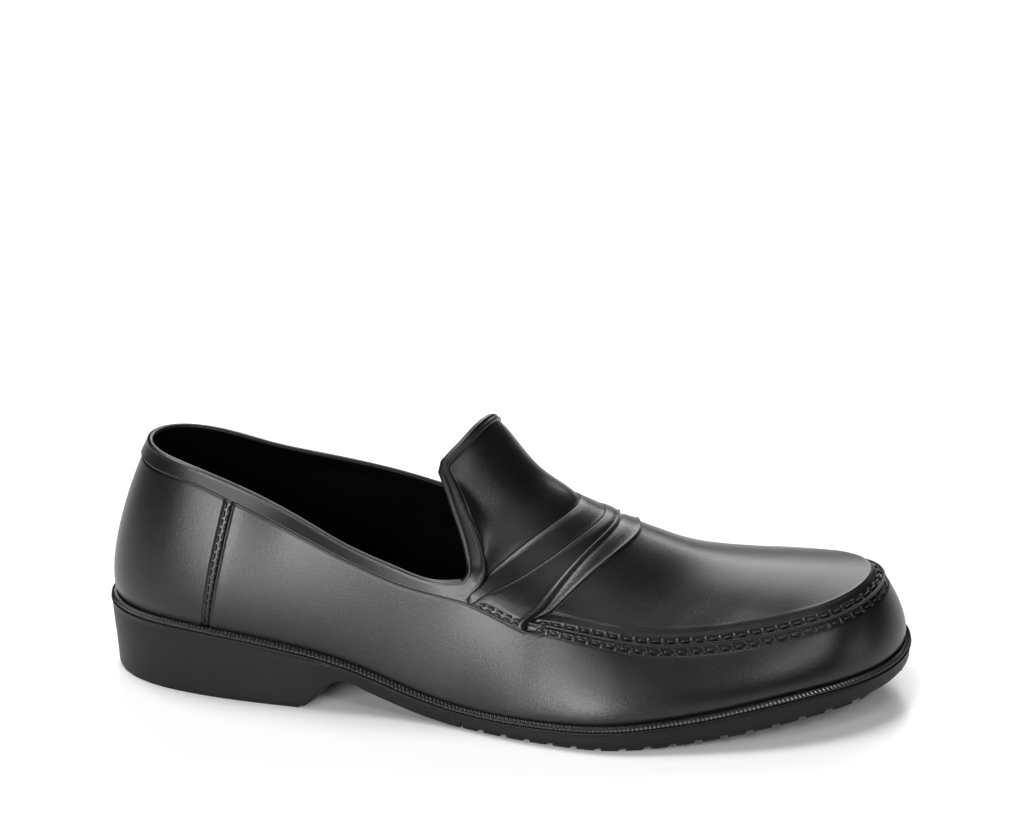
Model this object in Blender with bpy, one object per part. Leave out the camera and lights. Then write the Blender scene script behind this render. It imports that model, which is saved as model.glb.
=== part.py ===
# Rubber overshoe, right foot: hollow moulded upper, welt strip, tray sole, heel and forefoot treads.
# Metres. +X is the toe, +Z is up, the wearer's outer side is -Y. The origin is under the middle of the shoe.
import math

import bpy
import numpy as np

for old in list(bpy.data.objects):
    bpy.data.objects.remove(old, do_unlink=True)

# Driving sizes
LENGTH = 0.305
BALL_WIDTH = 0.114
INSTEP_HEIGHT = 0.104
HEEL_HEIGHT = 0.0295
WALL = 0.0015
BAND_RELIEF = 0.0009
TONGUE_RELIEF = 0.0003
PLUG_RELIEF = 0.0008
SEAM_RELIEF = 0.0006
STRAP_RELIEFS = (0.0009, 0.0014, 0.0010, 0.0015)
BAND_WIDTH_SIDE = 0.0068
BAND_WIDTH_TOP = 0.0032
GAP = 0.0003
WELT_DEPTH = 0.0022
WELT_HEIGHT = 0.0016
FOOT_INSET = WELT_DEPTH + GAP
LEDGE_INSET = 0.0042
TREAD_HEIGHT = 0.0017
LUG_DEPTH = 0.0010
HEEL_TIP_LIFT = 0.0009
SOLE_STEP = 0.0009

# Where the outlines turn round the heel and the toe, as shares of the length
HEEL_ROUND, TOE_ROUND, ROUND_POWER = 0.21, 0.27, 2.5
TOP_BACK, TOP_FRONT = 0.0531, 0.9672
TOP_HEEL_ROUND, TOP_TOE_ROUND, TOP_ROUND_POWER = 0.14, 0.34, 2.3
COLLAR_BACK, THROAT, COLLAR_ROUND = 0.0643, 0.4770, 0.28

# Stations of the throat corner and of the strap's back and front line
THROAT_STATION, STRAP_BACK, STRAP_FRONT = 0.467, 0.472, 0.552
HEEL_PAD_END, TREAD_START = 0.262, 0.4735

# Sole edge: share of the length; outer edge, inner edge and centre line by ball width; top by heel height
EDGE = (
    (0.000, 0.3096, 0.3061, -0.0018, 0.9966),
    (0.120, 0.3061, 0.3114, 0.0026, 0.9831),
    (0.250, 0.3421, 0.3088, 0.0000, 0.8610),
    (0.314, 0.3561, 0.2912, -0.0088, 0.7322),
    (0.360, 0.3667, 0.2825, -0.0149, 0.5831),
    (0.400, 0.3825, 0.2825, -0.0175, 0.4475),
    (0.450, 0.4105, 0.2947, -0.0184, 0.3254),
    (0.520, 0.4667, 0.3368, -0.0175, 0.2881),
    (0.600, 0.5158, 0.3982, -0.0088, 0.3085),
    (0.660, 0.5298, 0.4386, 0.0000, 0.3424),
    (0.720, 0.5070, 0.4596, 0.0088, 0.3966),
    (0.780, 0.4737, 0.4649, 0.0175, 0.4746),
    (0.840, 0.4456, 0.4684, 0.0281, 0.5729),
    (0.900, 0.4237, 0.4737, 0.0395, 0.6441),
    (1.000, 0.4096, 0.4825, 0.0579, 0.6712),
)

# Underside: share of the length; tread face and inner floor by heel height
UNDERSIDE = (
    (0.000, 0.0000, 0.2034),
    (0.235, 0.0000, 0.2034),
    (0.262, 0.0000, 0.2305),
    (0.274, 0.0678, 0.3186),
    (0.290, 0.2441, 0.4475),
    (0.305, 0.3729, 0.5288),
    (0.319, 0.4237, 0.5559),
    (0.334, 0.3966, 0.5288),
    (0.356, 0.2983, 0.4339),
    (0.395, 0.1627, 0.2983),
    (0.433, 0.0576, 0.2271),
    (0.465, 0.0085, 0.2102),
    (0.500, 0.0000, 0.2034),
    (0.640, 0.0000, 0.2034),
    (0.700, 0.0203, 0.2237),
    (0.770, 0.0881, 0.2915),
    (0.844, 0.1898, 0.3932),
    (0.897, 0.2644, 0.4678),
    (0.950, 0.3153, 0.5186),
    (1.000, 0.3390, 0.5424),
)

# Top of the wall: station; outer and inner half width by ball width; outer and inner height by instep height.
# It is the band's lower line behind the throat, and the seam round the toe.
TOP_LINE = (
    (0.000, 0.2061, 0.2061, 0.8269, 0.8269),
    (0.085, 0.2105, 0.2130, 0.8020, 0.7900),
    (0.146, 0.2290, 0.2270, 0.7480, 0.7320),
    (0.229, 0.2851, 0.2763, 0.6712, 0.6587),
    (0.304, 0.3158, 0.2982, 0.5846, 0.5913),
    (0.390, 0.3386, 0.3114, 0.5019, 0.5144),
    (0.467, 0.3535, 0.3140, 0.4644, 0.4567),
    (0.516, 0.3690, 0.3175, 0.4365, 0.4290),
    (0.552, 0.3820, 0.3228, 0.4170, 0.4090),
    (0.577, 0.3912, 0.3289, 0.4120, 0.4020),
    (0.620, 0.4000, 0.3421, 0.3960, 0.3860),
    (0.660, 0.4000, 0.3509, 0.3769, 0.3692),
    (0.700, 0.3947, 0.3596, 0.3606, 0.3558),
    (0.750, 0.3807, 0.3684, 0.3510, 0.3510),
    (0.800, 0.3649, 0.3772, 0.3538, 0.3558),
    (0.850, 0.3553, 0.3860, 0.3654, 0.3673),
    (0.900, 0.3509, 0.3947, 0.3808, 0.3827),
    (0.950, 0.3728, 0.4123, 0.4019, 0.4029),
    (1.000, 0.3860, 0.4386, 0.4260, 0.4260),
)

# How far the strap's ends hang below the top line: station, drop by instep height
STRAP_END = ((0.467, 0.0), (0.500, 0.0110), (0.530, 0.0235), (0.552, 0.0310), (0.558, 0.0270), (0.577, 0.0))

# How far forward the inner side's features lie: station, share of the length
SKEW = ((0.00, 0.0000), (0.20, 0.0066), (0.467, 0.0500), (0.55, 0.0520), (0.70, 0.0328), (0.85, 0.0131),
        (1.00, 0.0000))

# Outward swell of the wall: share of the length, swell by ball width
SWELL = ((0.00, 0.0351), (0.10, 0.0298), (0.25, 0.0175), (0.40, 0.0070), (0.52, 0.0105), (0.66, 0.0263),
         (0.78, 0.0333), (0.90, 0.0281), (1.00, 0.0211))

# Collar edge: share of the way to the throat; half widths by ball width; heights by instep height
COLLAR = (
    (0.000, 0.1877, 0.1912, 0.8885, 0.8885),
    (0.150, 0.1870, 0.1890, 0.8587, 0.8385),
    (0.300, 0.2040, 0.2070, 0.8040, 0.7760),
    (0.500, 0.2540, 0.2500, 0.7150, 0.7060),
    (0.650, 0.2877, 0.2772, 0.6308, 0.6481),
    (0.800, 0.3114, 0.2895, 0.5654, 0.5769),
    (0.920, 0.3298, 0.2965, 0.5308, 0.5346),
    (1.000, 0.3377, 0.3000, 0.5433, 0.5385),
)

# Tongue edge: share of the way from the ridge out to the throat; x by length, half width by ball
# width, height by instep height
TONGUE = (
    (0.000, 0.4830, 0.0000, 1.0040),
    (0.130, 0.4815, 0.0509, 0.9965),
    (0.250, 0.4775, 0.0982, 0.9745),
    (0.350, 0.4695, 0.1421, 0.9435),
    (0.440, 0.4607, 0.1825, 0.9020),
    (0.530, 0.4705, 0.2158, 0.8481),
    (0.620, 0.4813, 0.2491, 0.7865),
    (0.720, 0.4934, 0.2807, 0.7231),
    (0.820, 0.5020, 0.3105, 0.6577),
    (0.920, 0.5052, 0.3281, 0.5923),
    (1.000, 0.4922, 0.3377, 0.5433),
)
TONGUE_SHEAR = ((0.00, 0.30), (0.35, 0.29), (0.44, 0.28), (0.53, 0.25), (0.62, 0.22), (0.72, 0.19), (0.82, 0.15),
                (0.92, 0.12), (1.00, 0.12))

# Vamp sections: station; ridge x by length; arch angle; plug edge inset by ball width and rise by instep height
RIDGE = (
    (0.467, 0.4944, 70.0, 0.0061, 0.0442),
    (0.472, 0.5960, 68.0, 0.0070, 0.0433),
    (0.500, 0.6140, 66.0, 0.0100, 0.0423),
    (0.587, 0.6715, 55.0, 0.0330, 0.0350),
    (0.650, 0.7340, 49.0, 0.0368, 0.0327),
    (0.730, 0.7967, 45.0, 0.0368, 0.0327),
    (0.800, 0.8410, 45.0, 0.0368, 0.0308),
    (0.900, 0.9016, 45.0, 0.0368, 0.0269),
    (1.000, 0.9534, 45.0, 0.0368, 0.0212),
)

# Lines over the strap: share of its width at the wall, at the plug edge and at the ridge, how late the
# line turns, and relief
RELIEF_A, RELIEF_B, RELIEF_C, RELIEF_D = STRAP_RELIEFS
STRAP_ROWS = (
    (0.00, 0.00, 0.00, 1.0, TONGUE_RELIEF),
    (0.02, 0.02, 0.02, 1.0, RELIEF_A),
    (0.05, 0.18, 0.41, 4.0, RELIEF_A),
    (0.07, 0.21, 0.44, 4.0, RELIEF_B),
    (0.50, 0.50, 0.53, 1.0, RELIEF_B),
    (0.93, 0.82, 0.62, 1.5, RELIEF_B),
    (0.95, 0.845, 0.65, 1.5, RELIEF_C),
    (0.97, 0.92, 0.82, 1.5, (RELIEF_C + RELIEF_D) / 2),
    (0.985, 0.98, 0.975, 1.0, RELIEF_D),
    (1.00, 1.00, 1.00, 1.0, PLUG_RELIEF),
)

# Station of the vamp above each station of the top line: the strap's front edge leans forward
VAMP_STATION = ((0.467, 0.467), (0.472, 0.472), (0.552, 0.587), (0.577, 0.604), (0.660, 0.668), (0.750, 0.752), (1.000, 1.000))

# Ridge line of the vamp: x by length, height by instep height
CREST = (
    (0.4852, 1.0000),
    (0.5049, 0.9288),
    (0.5410, 0.8115),
    (0.5836, 0.7180),
    (0.6230, 0.6560),
    (0.6721, 0.5870),
    (0.7115, 0.5420),
    (0.7508, 0.5038),
    (0.7934, 0.4808),
    (0.8328, 0.4702),
    (0.8689, 0.4635),
    (0.9115, 0.4558),
    (0.9534, 0.4462),
)


# Curves through the tables
def smooth(xs, ys):
    """Smooth curve through the points that never passes beyond its neighbours."""
    xs, ys = np.array(xs, float), np.array(ys, float)
    step = np.diff(xs)
    slope = np.diff(ys) / step
    lean = np.zeros(len(xs))
    lean[0], lean[-1] = slope[0], slope[-1]
    for i in range(1, len(xs) - 1):
        if slope[i - 1] * slope[i] > 0:
            a, b = 2 * step[i] + step[i - 1], step[i] + 2 * step[i - 1]
            lean[i] = (a + b) / (a / slope[i - 1] + b / slope[i])

    def at(x):
        i = int(np.clip(np.searchsorted(xs, x) - 1, 0, len(xs) - 2))
        t = min(max((x - xs[i]) / step[i], 0.0), 1.0)
        return ((2 * t**3 - 3 * t**2 + 1) * ys[i] + (t**3 - 2 * t**2 + t) * step[i] * lean[i]
                + (3 * t**2 - 2 * t**3) * ys[i + 1] + (t**3 - t**2) * step[i] * lean[i + 1])

    return at


def spline(xs, ys):
    """Natural cubic spline through the points."""
    xs, ys = np.array(xs, float), np.array(ys, float)
    n, step = len(xs), np.diff(xs)
    grid, right = np.zeros((n, n)), np.zeros(n)
    grid[0, 0] = grid[-1, -1] = 1
    for i in range(1, n - 1):
        grid[i, i - 1:i + 2] = step[i - 1], 2 * (step[i - 1] + step[i]), step[i]
        right[i] = 6 * ((ys[i + 1] - ys[i]) / step[i] - (ys[i] - ys[i - 1]) / step[i - 1])
    bend = np.linalg.solve(grid, right)

    def at(x):
        i = int(np.clip(np.searchsorted(xs, x) - 1, 0, n - 2))
        h, d, e = step[i], xs[i + 1] - x, x - xs[i]
        return ((bend[i] * d**3 + bend[i + 1] * e**3) / (6 * h)
                + (ys[i] / h - bend[i] * h / 6) * d + (ys[i + 1] / h - bend[i + 1] * h / 6) * e)

    return at


def columns(rows, fit):
    table = np.array(rows, float)
    return [fit(table[:, 0], table[:, k]) for k in range(1, table.shape[1])]


edge_outer, edge_inner, edge_centre, edge_top = columns(EDGE, spline)
tread_face, inner_floor = columns(UNDERSIDE, smooth)
top_outer, top_inner, top_outer_z, top_inner_z = columns(TOP_LINE, smooth)
(skew_of,) = columns(SKEW, smooth)
(swell_of,) = columns(SWELL, spline)
(strap_drop,) = columns(STRAP_END, smooth)
collar_outer, collar_inner, collar_outer_z, collar_inner_z = columns(COLLAR, spline)
tongue_x, tongue_y, tongue_z = columns(TONGUE, spline)
(tongue_shear,) = columns(TONGUE_SHEAR, smooth)
ridge_x, arch_angle, plug_inset, plug_rise = columns(RIDGE, smooth)
(crest_z,) = columns(CREST, spline)
(vamp_station,) = columns(VAMP_STATION, smooth)


def round_end(s, back, front, power):
    share = 1.0
    if back and s < back:
        share *= math.sqrt(max(0.0, 1 - (1 - s / back) ** power))
    if front and s > 1 - front:
        share *= math.sqrt(max(0.0, 1 - ((s - 1 + front) / front) ** power))
    return share


# Lines of the shoe. side is -1 for the wearer's outer side and 1 for the inner side.
def sole_edge(s, side, inset=0.0, z=None):
    centre = edge_centre(s) * BALL_WIDTH
    reach = (edge_inner if side > 0 else edge_outer)(s) * BALL_WIDTH - side * centre - inset
    turn = round_end(s, HEEL_ROUND, TOE_ROUND, ROUND_POWER)
    x = inset + (LENGTH - 2 * inset) * s
    return np.array([x, centre + side * reach * turn, edge_top(s) * HEEL_HEIGHT if z is None else z])


def top_line(s, side, inset=0.0, rise=0.0):
    centre = edge_centre(s) * BALL_WIDTH
    half = (top_inner if side > 0 else top_outer)(s) * BALL_WIDTH
    reach = half - side * centre - inset
    turn = round_end(s, TOP_HEEL_ROUND, TOP_TOE_ROUND, TOP_ROUND_POWER)
    back, front = TOP_BACK * LENGTH + inset, TOP_FRONT * LENGTH - inset
    x = back + (front - back) * s + (skew_of(s) * LENGTH if side > 0 else 0)
    z = (top_inner_z if side > 0 else top_outer_z)(s) * INSTEP_HEIGHT + rise
    return np.array([x, centre + side * reach * turn, z])


def outward(s, side):
    """Plan direction square to the sole's edge."""
    if s < 1e-6 or s > 1 - 1e-6:
        return np.array([-1.0 if s < 0.5 else 1.0, 0.0])
    a, b = sole_edge(max(s - 0.004, 0), side), sole_edge(min(s + 0.004, 1), side)
    way = np.array([b[1] - a[1], a[0] - b[0]]) * -side
    return way / np.hypot(*way)


def wall_point(s, side, v):
    """Share v of the way up the wall, from the sole's ledge to the top line."""
    low, high = sole_edge(s, side, FOOT_INSET), top_line(s, side)
    point = low + (high - low) * v
    w = v ** 0.75
    point[:2] += outward(s, side) * 4 * w * (1 - w) * swell_of(s) * BALL_WIDTH
    return point


def wall_end(s, side):
    """Share of the wall's height where the band, the strap's end or the seam begins."""
    if not 0.467 < s < 0.577:
        return 1.0
    rise = top_line(s, side)[2] - sole_edge(s, side)[2]
    return 1 - strap_drop(s) * INSTEP_HEIGHT / rise


def collar(s, side):
    u = min(s / THROAT_STATION, 1.0)
    half = (collar_inner if side > 0 else collar_outer)(u) * BALL_WIDTH
    turn = round_end(u, COLLAR_ROUND, 0, ROUND_POWER)
    x = (COLLAR_BACK + (THROAT - COLLAR_BACK) * u + (skew_of(s) if side > 0 else 0)) * LENGTH
    return np.array([x, side * half * turn, (collar_inner_z if side > 0 else collar_outer_z)(u) * INSTEP_HEIGHT])


def tongue_edge(c):
    """Edge of the tongue for c from -1, the outer throat corner, over the ridge to 1."""
    a, side = abs(c), 1 if c > 0 else -1
    y = side * tongue_y(a) * BALL_WIDTH
    corner = collar(THROAT_STATION, side)
    y *= 1 + (abs(corner[1]) / (tongue_y(1) * BALL_WIDTH) - 1) * a**2
    point = np.array([tongue_x(a) * LENGTH + tongue_shear(a) * y, y, tongue_z(a) * INSTEP_HEIGHT])
    return point + (corner - point) * a**6


def plug_edge(s, side):
    return top_line(s, side, plug_inset(s) * BALL_WIDTH, plug_rise(s) * INSTEP_HEIGHT)


def bow(a):
    """Nearly straight from the ridge outwards, and rounded over the ridge."""
    return (math.hypot(a, 0.2) - 0.2) / (math.hypot(1, 0.2) - 0.2)


def vamp(s, c):
    """Vamp surface at station s, for c from -1, the outer plug edge, over the ridge to 1."""
    a = abs(c)
    low = plug_edge(s, 1 if c > 0 else -1)
    ridge = ridge_x(s) * LENGTH
    centre = edge_centre(s) * BALL_WIDTH * min(max((s - THROAT_STATION) / 0.2, 0), 1)
    full = math.radians(arch_angle(s))
    across = math.sin(a * full) / math.sin(full)
    up = (math.cos(a * full) - math.cos(full)) / (1 - math.cos(full))
    x = low[0] + (ridge - low[0]) * (1 - bow(a))
    z = low[2] + (crest_z(ridge / LENGTH) * INSTEP_HEIGHT - low[2]) * up
    return np.array([x, centre + (low[1] - centre) * across, z])


def strap_station(share):
    return STRAP_BACK + (STRAP_FRONT - STRAP_BACK) * share


def strap_line(line, c):
    """A line over the strap, from its share of the strap's width at the plug edge to that at the ridge."""
    share = line[2] + (line[1] - line[2]) * abs(c) ** line[3]
    return vamp(vamp_station(strap_station(share)), c)


def band_line(c):
    """Lower line of the tongue's band."""
    edge = tongue_edge(0.93 * c)
    along = tongue_edge(0.93 * c + 0.01) - tongue_edge(0.93 * c - 0.01)
    along /= np.linalg.norm(along)
    way = strap_line(STRAP_ROWS[0], c) - edge
    way -= along * (way @ along)
    width = BAND_WIDTH_TOP + (BAND_WIDTH_SIDE - BAND_WIDTH_TOP) * min(max((abs(c) - 0.42) / 0.45, 0), 1)
    return edge + way * width / np.linalg.norm(way)


def tongue_field(v, c):
    """Between the band line and the strap's back line."""
    start, end = band_line(c), strap_line(STRAP_ROWS[0], c)
    point = start + (end - start) * v
    straight = band_line(0) + (strap_line(STRAP_ROWS[0], 0) - band_line(0)) * v
    point[2] += (crest_z(straight[0] / LENGTH) * INSTEP_HEIGHT - straight[2]) * (1 - c * c) * 4 * v * (1 - v)
    return point


Y_MID = 0.5 * (min(sole_edge(s, -1)[1] for s in np.linspace(0, 1, 201))
               + max(sole_edge(s, 1)[1] for s in np.linspace(0, 1, 201)))


# Meshes
class Mesh:
    def __init__(self):
        self.points, self.faces = [], []

    def add(self, point):
        self.points.append(np.array(point, float))
        return len(self.points) - 1

    def line(self, points):
        return [self.add(p) for p in points]

    def strip(self, a, b, closed=False):
        """Faces between two lines, facing the right hand of a walk along them with b above a."""
        for i in range(len(a) if closed else len(a) - 1):
            j = (i + 1) % len(a)
            face = [a[i], a[j], b[j], b[i]]
            face = [v for k, v in enumerate(face) if v != face[k - 1]]
            if len(face) > 2:
                self.faces.append(face)

    def cap(self, loop, shares, height, up):
        """Closes a ring with lines from its outer side to its inner side."""
        n = len(loop) // 2
        rows = [[loop[0]] * (len(shares) + 2)]
        for i in range(1, n):
            a, b = loop[i], loop[-i]
            mid = []
            for t in shares:
                p = self.points[a] + (self.points[b] - self.points[a]) * t
                p[2] = height(i, t, p[2])
                mid.append(self.add(p))
            rows.append([a] + mid + [b])
        rows.append([loop[n]] * (len(shares) + 2))
        for low, high in zip(rows, rows[1:]):
            if up:
                self.strip(high, low)
            else:
                self.strip(low, high)

    def object(self, name, collection, material):
        mesh = bpy.data.meshes.new(name)
        shift = np.array([LENGTH / 2, Y_MID, 0])
        mesh.from_pydata([tuple(p - shift) for p in self.points], [], self.faces)
        mesh.validate()
        obj = bpy.data.objects.new(name, mesh)
        obj.data.materials.append(material)
        collection.objects.link(obj)
        return obj


def ring(point_of, stations):
    """Points once round: outer side from heel to toe, then back along the inner side."""
    outer = [point_of(s, -1) for s in stations]
    inner = [point_of(s, 1) for s in stations[-2:0:-1]]
    return outer + inner


# Upper
REAR = [0, 0.004, 0.014, 0.032, 0.058, 0.09, 0.125, 0.165, 0.21, 0.245, 0.276, 0.305, 0.334, 0.365, 0.40, 0.435]
FRONT = [0.577, 0.60, 0.63, 0.66, 0.69, 0.72, 0.75, 0.78, 0.81, 0.84, 0.87, 0.895, 0.92, 0.94, 0.958, 0.973,
         0.985, 0.994, 1.0]
FIELD = (0.35, 0.7)
ARCH = (-1, -0.965, -0.86, -0.7, -0.5, -0.26, 0, 0.26, 0.5, 0.7, 0.86, 0.965, 1)
RISE = (0.0, 0.12, 0.3, 0.5, 0.7, 0.88, 1.0)


def lip_point(s, side):
    """Just above the end of the wall."""
    share = wall_end(s, side)
    if share < 1:
        return wall_point(s, side, share + 0.012)
    return top_line(s, side, 0.0003, 0.0003)


def upper_surface():
    """The smooth outer surface with its relief, and its foot and collar loops."""
    mesh, relief = Mesh(), {}
    rows = [THROAT_STATION] + [THROAT_STATION + (STRAP_BACK - THROAT_STATION) * v for v in FIELD]
    rows += [strap_station(line[0]) for line in STRAP_ROWS] + FRONT
    stations = REAR + rows
    n, throat = len(stations) - 1, len(REAR)

    def foot(s, side):
        point = wall_point(s, side, 0)
        point[2] -= WELT_HEIGHT - 0.0002
        return point

    loops = [mesh.line(ring(foot, stations))]
    for v in RISE:
        loops.append(mesh.line(ring(lambda s, side: wall_point(s, side, v * wall_end(s, side)), stations)))
    lip = mesh.line(ring(lip_point, stations))
    for a, b in zip(loops + [lip], loops[1:] + [lip]):
        if a is not b:
            mesh.strip(a, b, closed=True)
    for k, v in enumerate(lip):
        row = min(k, 2 * n - k) - throat
        if row < len(FIELD) + 1:
            relief[v] = BAND_RELIEF
        elif row < len(FIELD) + 1 + len(STRAP_ROWS):
            relief[v] = STRAP_ROWS[row - len(FIELD) - 1][4]
        else:
            relief[v] = SEAM_RELIEF
    # vamp rows, each from the lip's outer side over the ridge to its inner side
    grid = []
    for j, s in enumerate(rows):
        k = throat + j
        if j == 0:
            arch, height = [band_line(c) for c in ARCH], [TONGUE_RELIEF] * len(ARCH)
        elif j <= len(FIELD):
            arch, height = [tongue_field(FIELD[j - 1], c) for c in ARCH], [TONGUE_RELIEF] * len(ARCH)
        elif j < len(FIELD) + 1 + len(STRAP_ROWS):
            line = STRAP_ROWS[j - len(FIELD) - 1]
            arch, height = [strap_line(line, c) for c in ARCH], [line[4]] * len(ARCH)
        else:
            arch = [vamp(vamp_station(s), c) for c in ARCH]
            height = [0.0 if abs(c) == 1 else PLUG_RELIEF for c in ARCH]
        strap = len(FIELD) < j < len(FIELD) + len(STRAP_ROWS)
        if s == 1.0:
            tip = mesh.points[lip[n]]
            first = mesh.add(tip + (arch[0] - tip) * 0.35)
            second = mesh.add(arch[0])
            middle = mesh.add(arch[0] - [0.0005, 0, 0])
            relief[middle] = PLUG_RELIEF
            grid.append([lip[n], first, second] + [middle] * (len(ARCH) - 2) + [second, first, lip[n]])
            continue
        line = mesh.line(arch)
        for v, h in zip(line, height):
            relief[v] = h
        ends = []
        for v, start in ((line[0], lip[k]), (line[-1], lip[2 * n - k])):
            mid = mesh.add(mesh.points[start] * 0.65 + mesh.points[v] * 0.35)
            relief[mid] = height[0] if strap or j <= len(FIELD) else 0.0
            ends.append(mid)
        grid.append([lip[k], ends[0]] + line + [ends[1], lip[2 * n - k]])
    for low, high in zip(grid, grid[1:]):
        mesh.strip(high, low)
    # band behind the throat and round the tongue
    rear = list(range(2 * n - throat, 2 * n)) + list(range(throat + 1))
    low = [lip[k] for k in rear]
    spots = [(stations[min(k, 2 * n - k)], 1 if k > n else -1) for k in rear]
    tongue = [-1, -0.965] + [0.93 * c for c in ARCH] + [0.965, 1]
    start = low + grid[0][1:-1]
    end = [collar(s, side) for s, side in spots] + [tongue_edge(c) for c in tongue[1:-1]]
    band = []
    for share, rise in ((0.07, BAND_RELIEF), (0.5, BAND_RELIEF), (0.93, BAND_RELIEF), (1.0, BAND_RELIEF * 0.6)):
        row = mesh.line([mesh.points[v] + (e - mesh.points[v]) * share for v, e in zip(start, end)])
        for v in row:
            relief[v] = rise
        band.append(row)
    for a, b in zip([start] + band, band):
        mesh.strip(a, b, closed=True)
    return mesh, relief, loops[0], band[-1]


def upper_mesh():
    mesh, relief, foot, rim = upper_surface()
    points = np.array(mesh.points)
    normals = np.zeros_like(points)
    for face in mesh.faces:
        for i in range(1, len(face) - 1):
            a, b, c = (points[face[k]] for k in (0, i, i + 1))
            normals[[face[0], face[i], face[i + 1]]] += np.cross(b - a, c - a)
    normals[foot, 2] = 0
    normals /= np.linalg.norm(normals, axis=1)[:, None]
    rise = np.array([relief.get(v, 0.0) for v in range(len(points))])
    shell = Mesh()
    shell.points = list(points + normals * rise[:, None]) + list(points - normals * WALL)
    count = len(points)
    shell.faces = list(mesh.faces) + [[v + count for v in reversed(face)] for face in mesh.faces]
    shell.strip(rim, [v + count for v in rim], closed=True)
    shell.strip([v + count for v in foot], foot, closed=True)
    return shell


# Sole and welt
SOLE_STATIONS = [0, 0.004, 0.014, 0.032, 0.058, 0.09, 0.125, 0.165, 0.21, 0.245, 0.262, 0.2635, 0.276, 0.29,
                 0.305, 0.319, 0.334, 0.356, 0.38, 0.41, 0.44, 0.472, TREAD_START, 0.50, 0.54, 0.58, 0.62, 0.66,
                 0.70, 0.73, 0.76, 0.79, 0.82, 0.85, 0.88, 0.905, 0.93, 0.95, 0.967, 0.981, 0.991, 0.9975, 1.0]


def under_z(s):
    face = tread_face(s) * HEEL_HEIGHT
    if s <= 0.35:
        return max(face, TREAD_HEIGHT + GAP)
    return face + (TREAD_HEIGHT + GAP if s >= TREAD_START else 0)


def foot_inset(s):
    """How far in the bottom edge of the sole's side lies."""
    return 0.0012 + 0.0008 * min(max((s - 0.40) / 0.08, 0), 1)


def step_depth(s):
    return SOLE_STEP * min(max((s - 0.42) / 0.06, 0), 1)


def ledge_z(s):
    return edge_top(s) * HEEL_HEIGHT - WELT_HEIGHT - GAP


def sole_mesh():
    mesh = Mesh()

    def side_z(s, share):
        return under_z(s) + (ledge_z(s) - under_z(s)) * share

    lines = (
        lambda s, side: sole_edge(s, side, foot_inset(s) + 0.006, under_z(s)),
        lambda s, side: sole_edge(s, side, foot_inset(s), under_z(s)),
        lambda s, side: sole_edge(s, side, foot_inset(s) * 0.75 + step_depth(s) * 0.3, side_z(s, 0.12)),
        lambda s, side: sole_edge(s, side, foot_inset(s) * 0.25, side_z(s, 0.20)),
        lambda s, side: sole_edge(s, side, 0, ledge_z(s)),
        lambda s, side: sole_edge(s, side, LEDGE_INSET, ledge_z(s)),
        lambda s, side: sole_edge(s, side, LEDGE_INSET + 0.001, inner_floor(s) * HEEL_HEIGHT),
    )
    loops = [mesh.line(ring(f, SOLE_STATIONS)) for f in lines]
    for a, b in zip(loops, loops[1:]):
        mesh.strip(a, b, closed=True)
    mesh.cap(loops[0], (0.33, 0.67), lambda i, t, z: z, up=False)
    mesh.cap(loops[-1], (0.15, 0.5, 0.85), lambda i, t, z: z, up=True)
    return mesh


def welt_mesh():
    mesh = Mesh()
    top = lambda s: edge_top(s) * HEEL_HEIGHT
    lines = (
        lambda s, side: sole_edge(s, side, WELT_DEPTH, top(s) - WELT_HEIGHT),
        lambda s, side: sole_edge(s, side, 0.0002, top(s) - WELT_HEIGHT),
        lambda s, side: sole_edge(s, side, 0.0002, top(s) - 0.0005),
        lambda s, side: sole_edge(s, side, 0.0009, top(s)),
        lambda s, side: sole_edge(s, side, WELT_DEPTH, top(s)),
    )
    loops = [mesh.line(ring(f, SOLE_STATIONS)) for f in lines]
    for a, b in zip(loops, loops[1:] + loops[:1]):
        mesh.strip(a, b, closed=True)
    return mesh


# Treads
def pad_mesh(rows, across, inset, lug_of, top_z):
    """A plate across the sole: its underside steps with the lugs, its top is smooth."""
    mesh = Mesh()
    low, high = [], []
    for s in rows:
        a, b = (sole_edge(s, side, inset(s)) for side in (-1, 1))
        under = []
        for t in across:
            p = a + (b - a) * (t + 1) / 2
            p[2] = lug_of(s, t)
            under.append(mesh.add(p))
        low.append(under)
        over = []
        for t in (-1, 0, 1):
            p = a + (b - a) * (t + 1) / 2
            p[2] = top_z(s)
            over.append(mesh.add(p))
        high.append(over)
    for i in range(len(rows) - 1):
        mesh.strip(low[i], low[i + 1])
        mesh.strip(high[i + 1], high[i])
        mesh.faces.append([low[i][0], low[i + 1][0], high[i + 1][0], high[i][0]])
        mesh.faces.append([low[i + 1][-1], low[i][-1], high[i][-1], high[i + 1][-1]])
    mesh.faces.append(low[0][::-1] + high[0])
    mesh.faces.append(low[-1] + high[-1][::-1])
    return mesh


def with_edges(spans, width=0.0011):
    rows = []
    for start, end in spans:
        rows += [start, start + width, end - width, end]
    return rows


HEEL_GROOVES = [(0.062 + 0.034 * i, 0.080 + 0.034 * i) for i in range(5)]
HEEL_ROWS = [0.0009, 0.006, 0.018, 0.036] + with_edges(HEEL_GROOVES) + [0.234, HEEL_PAD_END]
HEEL_ACROSS = (-1, -0.80, -0.77, -0.03, 0.03, 0.77, 0.80, 1)


def pad_top(s):
    """Just under the sole, which is straight from one of its stations to the next."""
    return float(np.interp(s, SOLE_STATIONS, [under_z(u) for u in SOLE_STATIONS])) - GAP


def heel_lug(s, t):
    cut = any(a + 0.0011 - 1e-6 <= s <= b - 0.0011 + 1e-6 for a, b in HEEL_GROOVES) and abs(t) <= 0.77
    lift = HEEL_TIP_LIFT * max(0.0, 1 - s / 0.03) ** 2
    return (LUG_DEPTH if cut else 0.0) + lift


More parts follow.
